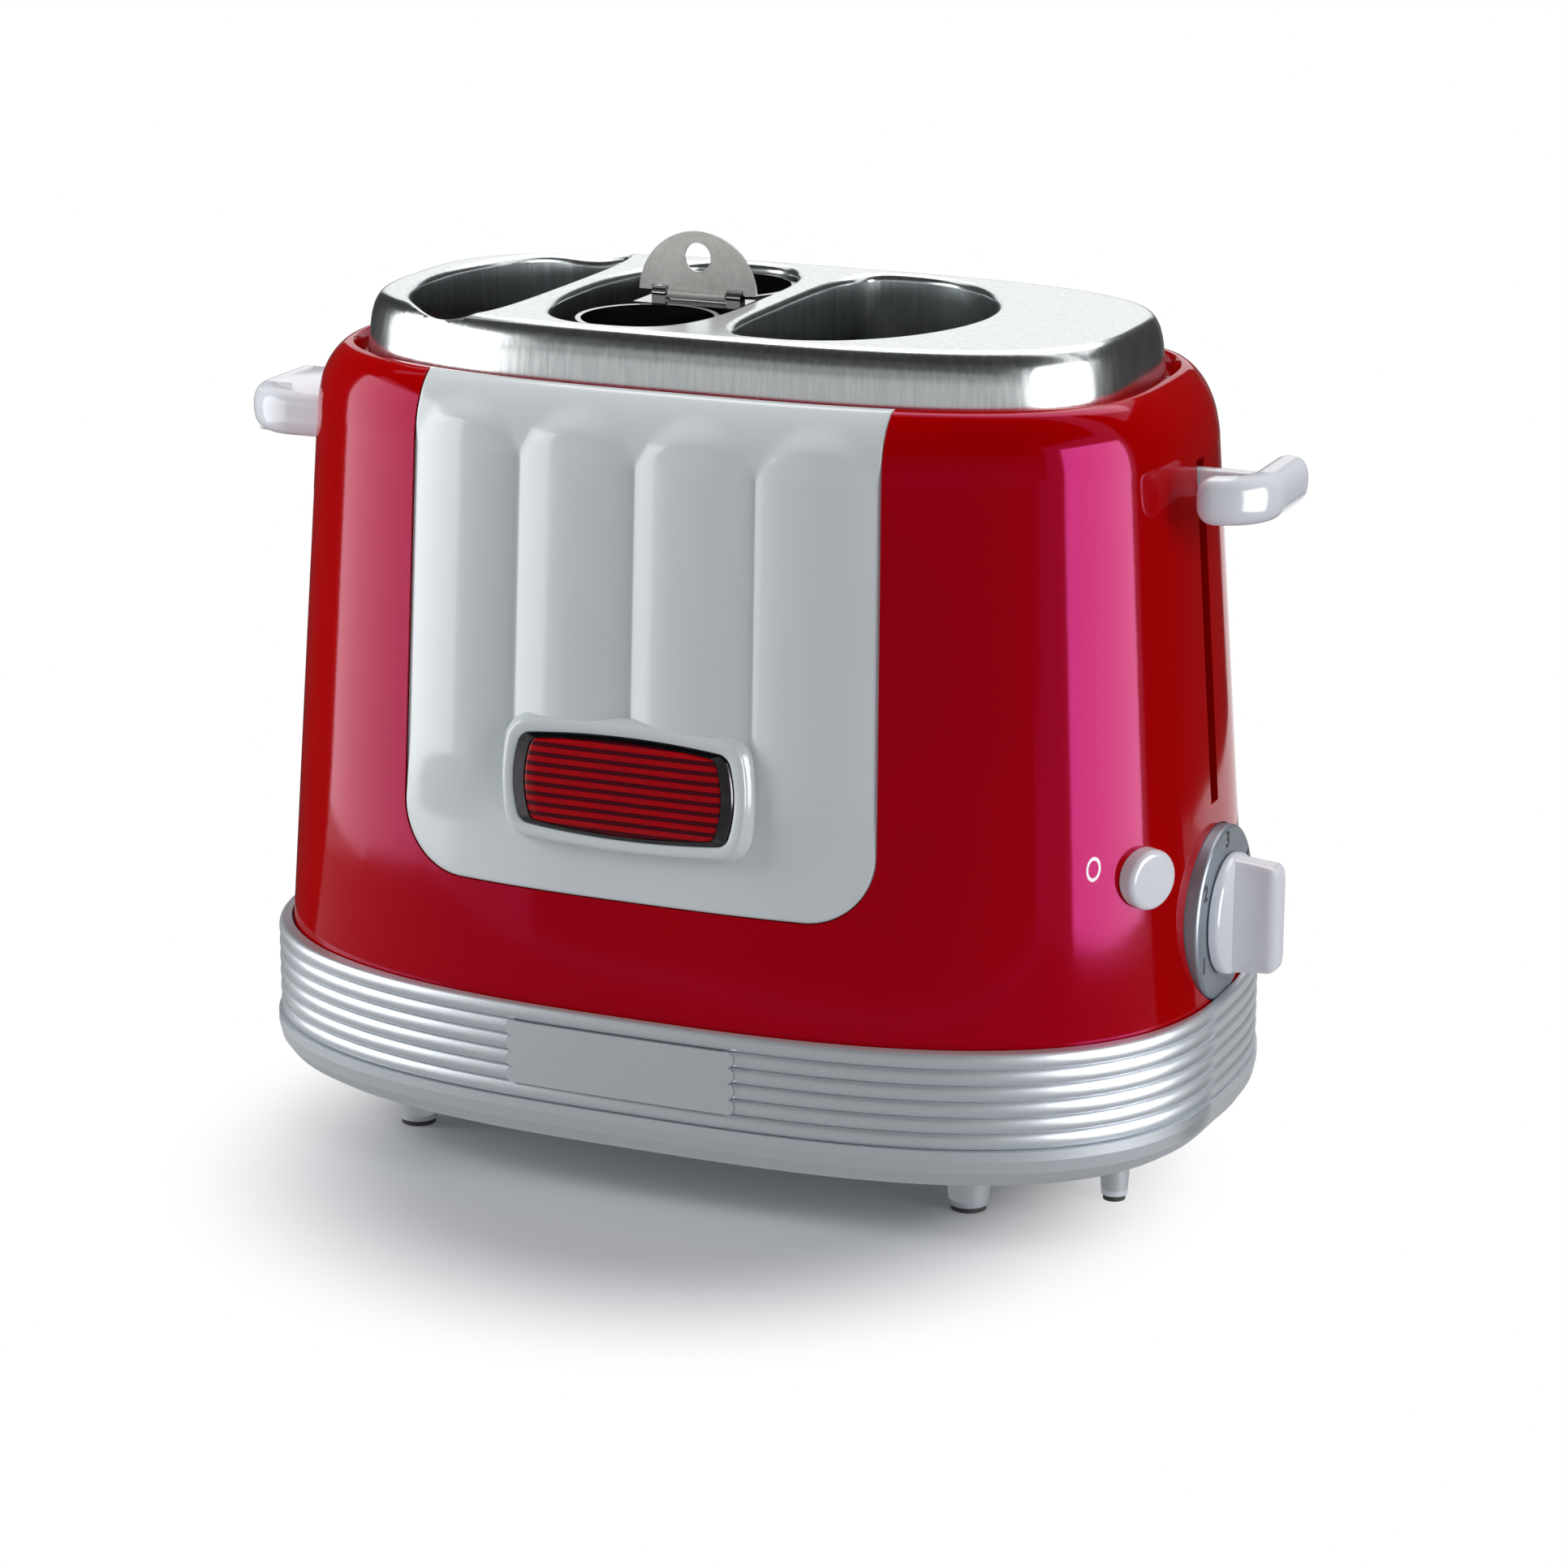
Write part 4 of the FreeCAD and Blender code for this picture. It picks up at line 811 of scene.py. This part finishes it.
# Timer knob: a disc, and a blade across it with a slight waist and a round outer edge.
def knob():
    bm = bmesh.new()
    steps = 96
    x0 = DIAL_FACE + 0.3
    disc = ((9.0, 0.0), (KNOB_R - 0.5, 0.0), (KNOB_R, 0.5), (KNOB_R, 2.2), (KNOB_R - 0.3, 2.8),
            (KNOB_R - 1.0, 3.2))
    capped_loft(bm, [[Vector((x0 + x, r * math.cos(t), DIAL_Z + r * math.sin(t))) * MM
                      for t in turns(steps)] for r, x in disc])
    tip = PADDLE_OUT - x0
    straight = tip - 2 * BLADE_ROUND
    ways = [BLADE_ROUND + straight * i / 8 for i in range(9)]
    ways += [tip - BLADE_ROUND + BLADE_ROUND * math.sin(math.pi * i / 16) for i in range(1, 9)]
    blade = []
    for u in ways:
        over = max(0.0, u - (tip - BLADE_ROUND))
        back = BLADE_ROUND - math.sqrt(max(0.0, BLADE_ROUND ** 2 - over ** 2))
        waist = 0.5 * math.sin(math.pi * min(1.0, (u - BLADE_ROUND) / straight))
        half = BLADE_HALF - waist - back
        tall = KNOB_R - 0.3 - 0.10 * u - back
        section = [power(half, tall, BLADE_N, t) for t in turns(steps)]
        blade.append([Vector((x0 + u, p, DIAL_Z + q)) * MM for p, q in section])
    capped_loft(bm, blade)
    ob = piece("knob_body", bm, small_white, 50.0)
    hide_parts("timer_knob")
    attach(ob, "knob")


paddle("lever_paddle", "lever_knob", "carriage", 129.3, LEVER_Z, 1, True,
       ((117.5, -NECK_HALF, LEVER_Z - 3.6), (141.0, NECK_HALF, LEVER_Z + 3.6)))
paddle("grip_paddle", "left_grip", "housing", 120.8, GRIP_Z, -1, False,
       ((-144.0, -19.0, GRIP_Z - 6.2), (-121.0, 12.5, GRIP_Z + 6.2)))
knob()
housing()
front_panel()
badge_boss()
badge_frame()
badge_plate()
steel_cap()
base_band()


# ---------------------------------------------------------------- small marks
def digit(text, x, y, z, size, mat):
    curve = bpy.data.curves.new("digit_" + text, "FONT")
    curve.body = text
    curve.size = size * MM
    curve.align_x = "CENTER"
    curve.align_y = "CENTER"
    curve.extrude = 0.06 * MM
    curve.offset = 0.13 * MM
    ob = bpy.data.objects.new("dial_digit_" + text, curve)
    ob.rotation_euler = (math.pi / 2, 0, math.pi / 2)
    ob.location = Vector((x, y, z)) * MM
    bpy.context.scene.collection.objects.link(ob)
    curve.materials.append(mat)
    return ob


for i, angle in enumerate((210, 150, 90, 30, -30)):
    r = 20.0
    a = math.radians(angle)
    ob = digit(str(i + 1), DIAL_FACE + 0.02, r * math.cos(a), DIAL_Z + r * math.sin(a), 6.2, print_black)
    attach(ob, "housing")


# Upright ring just off the housing, beside the stop button.
def ring_mark():
    bm = bmesh.new()
    turn = math.radians(MARK_TURN)
    across = Vector((-math.sin(turn), math.cos(turn), 0.0))
    rows = []
    for r in MARK_RADII:
        row = []
        for a in turns(48):
            p = Vector(MARK_AT) + across * (r * math.cos(a)) + Vector((0, 0, 1.25 * r * math.sin(a)))
            row.append(Vector((p.x, -body_y(p.x, p.z) - 0.03, p.z)) * MM)
        rows.append(row)
    loft(bm, rows)
    ob = piece("ring_mark", bm, print_white)
    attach(ob, "housing")


ring_mark()


# ---------------------------------------------------------------- studio
# Camera: azimuth, elevation, distance in metres, focal length and width of the picture in pixels.
CAM_AZ, CAM_EL, CAM_DIST = math.radians(23.33), math.radians(16.50), 1.266
FOCAL_PX, WIDTH_PX, SENSOR_MM = 5685.0, 1932.0, 36.0
back = Vector((math.sin(CAM_AZ) * math.cos(CAM_EL), -math.cos(CAM_AZ) * math.cos(CAM_EL), math.sin(CAM_EL)))
right = Vector((math.cos(CAM_AZ), math.sin(CAM_AZ), 0.0))
up = back.cross(right)
target = right * 0.0058 + Vector((0, 0, 0.0927))
cam_data = bpy.data.cameras.new("camera")
cam_data.sensor_fit = "HORIZONTAL"
cam_data.sensor_width = SENSOR_MM
cam_data.lens = FOCAL_PX / WIDTH_PX * SENSOR_MM
cam = bpy.data.objects.new("camera", cam_data)
turn = Matrix((right, up, back)).transposed().to_4x4()
cam.matrix_world = Matrix.Translation(target + back * CAM_DIST) @ turn
bpy.context.scene.collection.objects.link(cam)
bpy.context.scene.camera = cam


# One where the eye, a mirror or glass looks at the surface, and zero where it only lights.
def seen_directly(t):
    path = t.nodes.new("ShaderNodeLightPath")
    total = path.outputs["Is Camera Ray"]
    for ray in ("Is Glossy Ray", "Is Transmission Ray"):
        add = t.nodes.new("ShaderNodeMath")
        add.operation = "ADD"
        add.use_clamp = True
        t.links.new(total, add.inputs[0])
        t.links.new(path.outputs[ray], add.inputs[1])
        total = add.outputs["Value"]
    return total


# Floor: pale and diffuse near the object, plain white far off.
def floor_material():
    m, t, s = material("floor")
    s.inputs["Base Color"].default_value = (0.58, 0.59, 0.62, 1)
    s.inputs["Roughness"].default_value = 0.9
    s.inputs["Specular IOR Level"].default_value = 0.0
    coord = t.nodes.new("ShaderNodeTexCoord")
    squash = t.nodes.new("ShaderNodeMapping")
    squash.inputs["Location"].default_value = (0.0, 0.056, 0.0)
    squash.inputs["Scale"].default_value = (1.30, 1.25, 0.0)
    length = t.nodes.new("ShaderNodeVectorMath")
    length.operation = "LENGTH"
    t.links.new(coord.outputs["Object"], squash.inputs["Vector"])
    t.links.new(squash.outputs["Vector"], length.inputs[0])
    far = t.nodes.new("ShaderNodeMapRange")
    far.interpolation_type = "SMOOTHSTEP"
    far.inputs["From Min"].default_value = 0.09
    far.inputs["From Max"].default_value = 0.188
    t.links.new(length.outputs["Value"], far.inputs["Value"])
    keep = t.nodes.new("ShaderNodeMath")
    keep.operation = "MULTIPLY"
    t.links.new(far.outputs["Result"], keep.inputs[0])
    t.links.new(seen_directly(t), keep.inputs[1])
    glow = t.nodes.new("ShaderNodeEmission")
    glow.inputs["Color"].default_value = (1, 1, 1, 1)
    mix = t.nodes.new("ShaderNodeMixShader")
    t.links.new(keep.outputs["Value"], mix.inputs["Fac"])
    t.links.new(s.outputs["BSDF"], mix.inputs[1])
    t.links.new(glow.outputs["Emission"], mix.inputs[2])
    t.links.new(mix.outputs["Shader"], t.nodes["Material Output"].inputs["Surface"])
    return m


bm = bmesh.new()
bmesh.ops.create_grid(bm, x_segments=1, y_segments=1, size=4.0)
floor = piece("floor", bm, floor_material())


# World: white where it is seen, soft grey as light.
def sky():
    world = bpy.data.worlds.new("studio")
    bpy.context.scene.world = world
    world.use_nodes = True
    t = world.node_tree
    ambient = t.nodes["Background"]
    ambient.inputs["Color"].default_value = (0.93, 0.96, 1.0, 1)
    ambient.inputs["Strength"].default_value = 0.34
    white_bg = t.nodes.new("ShaderNodeBackground")
    white_bg.inputs["Strength"].default_value = 1.0
    white_bg.inputs["Color"].default_value = (1, 1, 1, 1)
    mix = t.nodes.new("ShaderNodeMixShader")
    t.links.new(seen_directly(t), mix.inputs["Fac"])
    t.links.new(ambient.outputs["Background"], mix.inputs[1])
    t.links.new(white_bg.outputs["Background"], mix.inputs[2])
    t.links.new(mix.outputs["Shader"], t.nodes["World Output"].inputs["Surface"])


sky()


# Studio card, seen only in reflections, with the brightness that it shows there.
def card(name, at, aim, width, height, level):
    bm = bmesh.new()
    bmesh.ops.create_grid(bm, x_segments=1, y_segments=1, size=0.5)
    bm.transform(Matrix.Diagonal((width, height, 1, 1)))
    m, t, s = material(name)
    s.inputs["Base Color"].default_value = (0.02, 0.02, 0.02, 1)
    s.inputs["Specular IOR Level"].default_value = 0.0
    s.inputs["Emission Color"].default_value = (1, 1, 1, 1)
    s.inputs["Emission Strength"].default_value = level
    ob = piece(name, bm, m)
    ob.location = at
    ob.rotation_euler = (Vector(aim) - Vector(at)).to_track_quat("Z", "Y").to_euler()
    ob.visible_camera = False
    ob.visible_diffuse = False
    ob.visible_shadow = False
    ob.visible_transmission = False


# Level of the cards that only hide a white surrounding from the gloss.
DARK = 0.02

card("ceiling_card", (0.0, -1.25, 1.55), (0.0, -1.25, 0.0), 4.4, 2.5, DARK)
card("high_front_card", (0.0, -1.5, 1.17), (0.0, 0.0, 1.17), 4.0, 0.76, 0.05)
card("mid_front_card", (0.0, -1.5, 0.54), (0.0, 0.0, 0.54), 4.0, 0.50, 0.28)
card("front_card", (0.15, -0.75, 0.145), (0.15, 0.0, 0.145), 1.5, 0.31, 0.48)
card("near_front_card", (0.10, -0.36, 0.085), (0.10, 0.0, 0.085), 0.62, 0.17, 0.30)
card("right_card", (0.47, -0.09, 0.185), (0.12, -0.045, 0.185), 0.30, 0.36, 12.0)
card("left_card", (-0.43, -0.21, 0.21), (-0.08, -0.045, 0.21), 0.36, 0.42, 3.8)
card("left_back_card", (-0.80, 0.28, 0.45), (0.0, 0.0, 0.45), 0.82, 0.9, DARK)
card("right_back_card", (0.50, 0.70, 0.40), (0.06, 0.0, 0.40), 1.15, 0.8, DARK)
card("left_low_card", (-0.50, 0.13, 0.15), (-0.10, 0.0, 0.15), 0.50, 0.30, DARK)
card("right_low_card", (0.38, 0.34, 0.16), (0.10, 0.0, 0.16), 0.55, 0.32, DARK)
card("right_flag", (0.294, 0.0315, 0.18), (0.026, 0.9945, 0.18), 0.325, 0.36, DARK)
card("left_flag", (-0.3185, -0.026, 0.21), (-0.3955, 0.971, 0.21), 0.364, 0.42, DARK)
card("floor_card", (0.0, 0.0, 0.003), (0.0, 0.0, 1.0), 0.86, 0.66, 0.40)
card("low_back_card", (-0.28, 0.72, 0.13), (0.0, 0.0, 0.13), 0.85, 0.26, 0.10)


def softbox(name, at, aim, width, height, watts):
    data = bpy.data.lights.new(name, "AREA")
    data.shape = "RECTANGLE"
    data.size = width
    data.size_y = height
    data.energy = watts
    ob = bpy.data.objects.new(name, data)
    ob.location = at
    ob.rotation_euler = (Vector(aim) - Vector(at)).to_track_quat("-Z", "Y").to_euler()
    bpy.context.scene.collection.objects.link(ob)
    return ob


softbox("overhead", (0.0, 0.75, 1.5), (0.0, 0.0, 0.1), 1.7, 1.0, 17.0)
for lamp in (softbox("left_key", (-1.40, -0.45, 0.65), (0.0, 0.0, 0.12), 0.5, 0.9, 15.0),
             softbox("right_fill", (1.45, -0.30, 0.60), (0.0, 0.0, 0.12), 0.5, 0.9, 8.0)):
    lamp.visible_glossy = False

scene = bpy.context.scene
scene.view_settings.view_transform = "Standard"
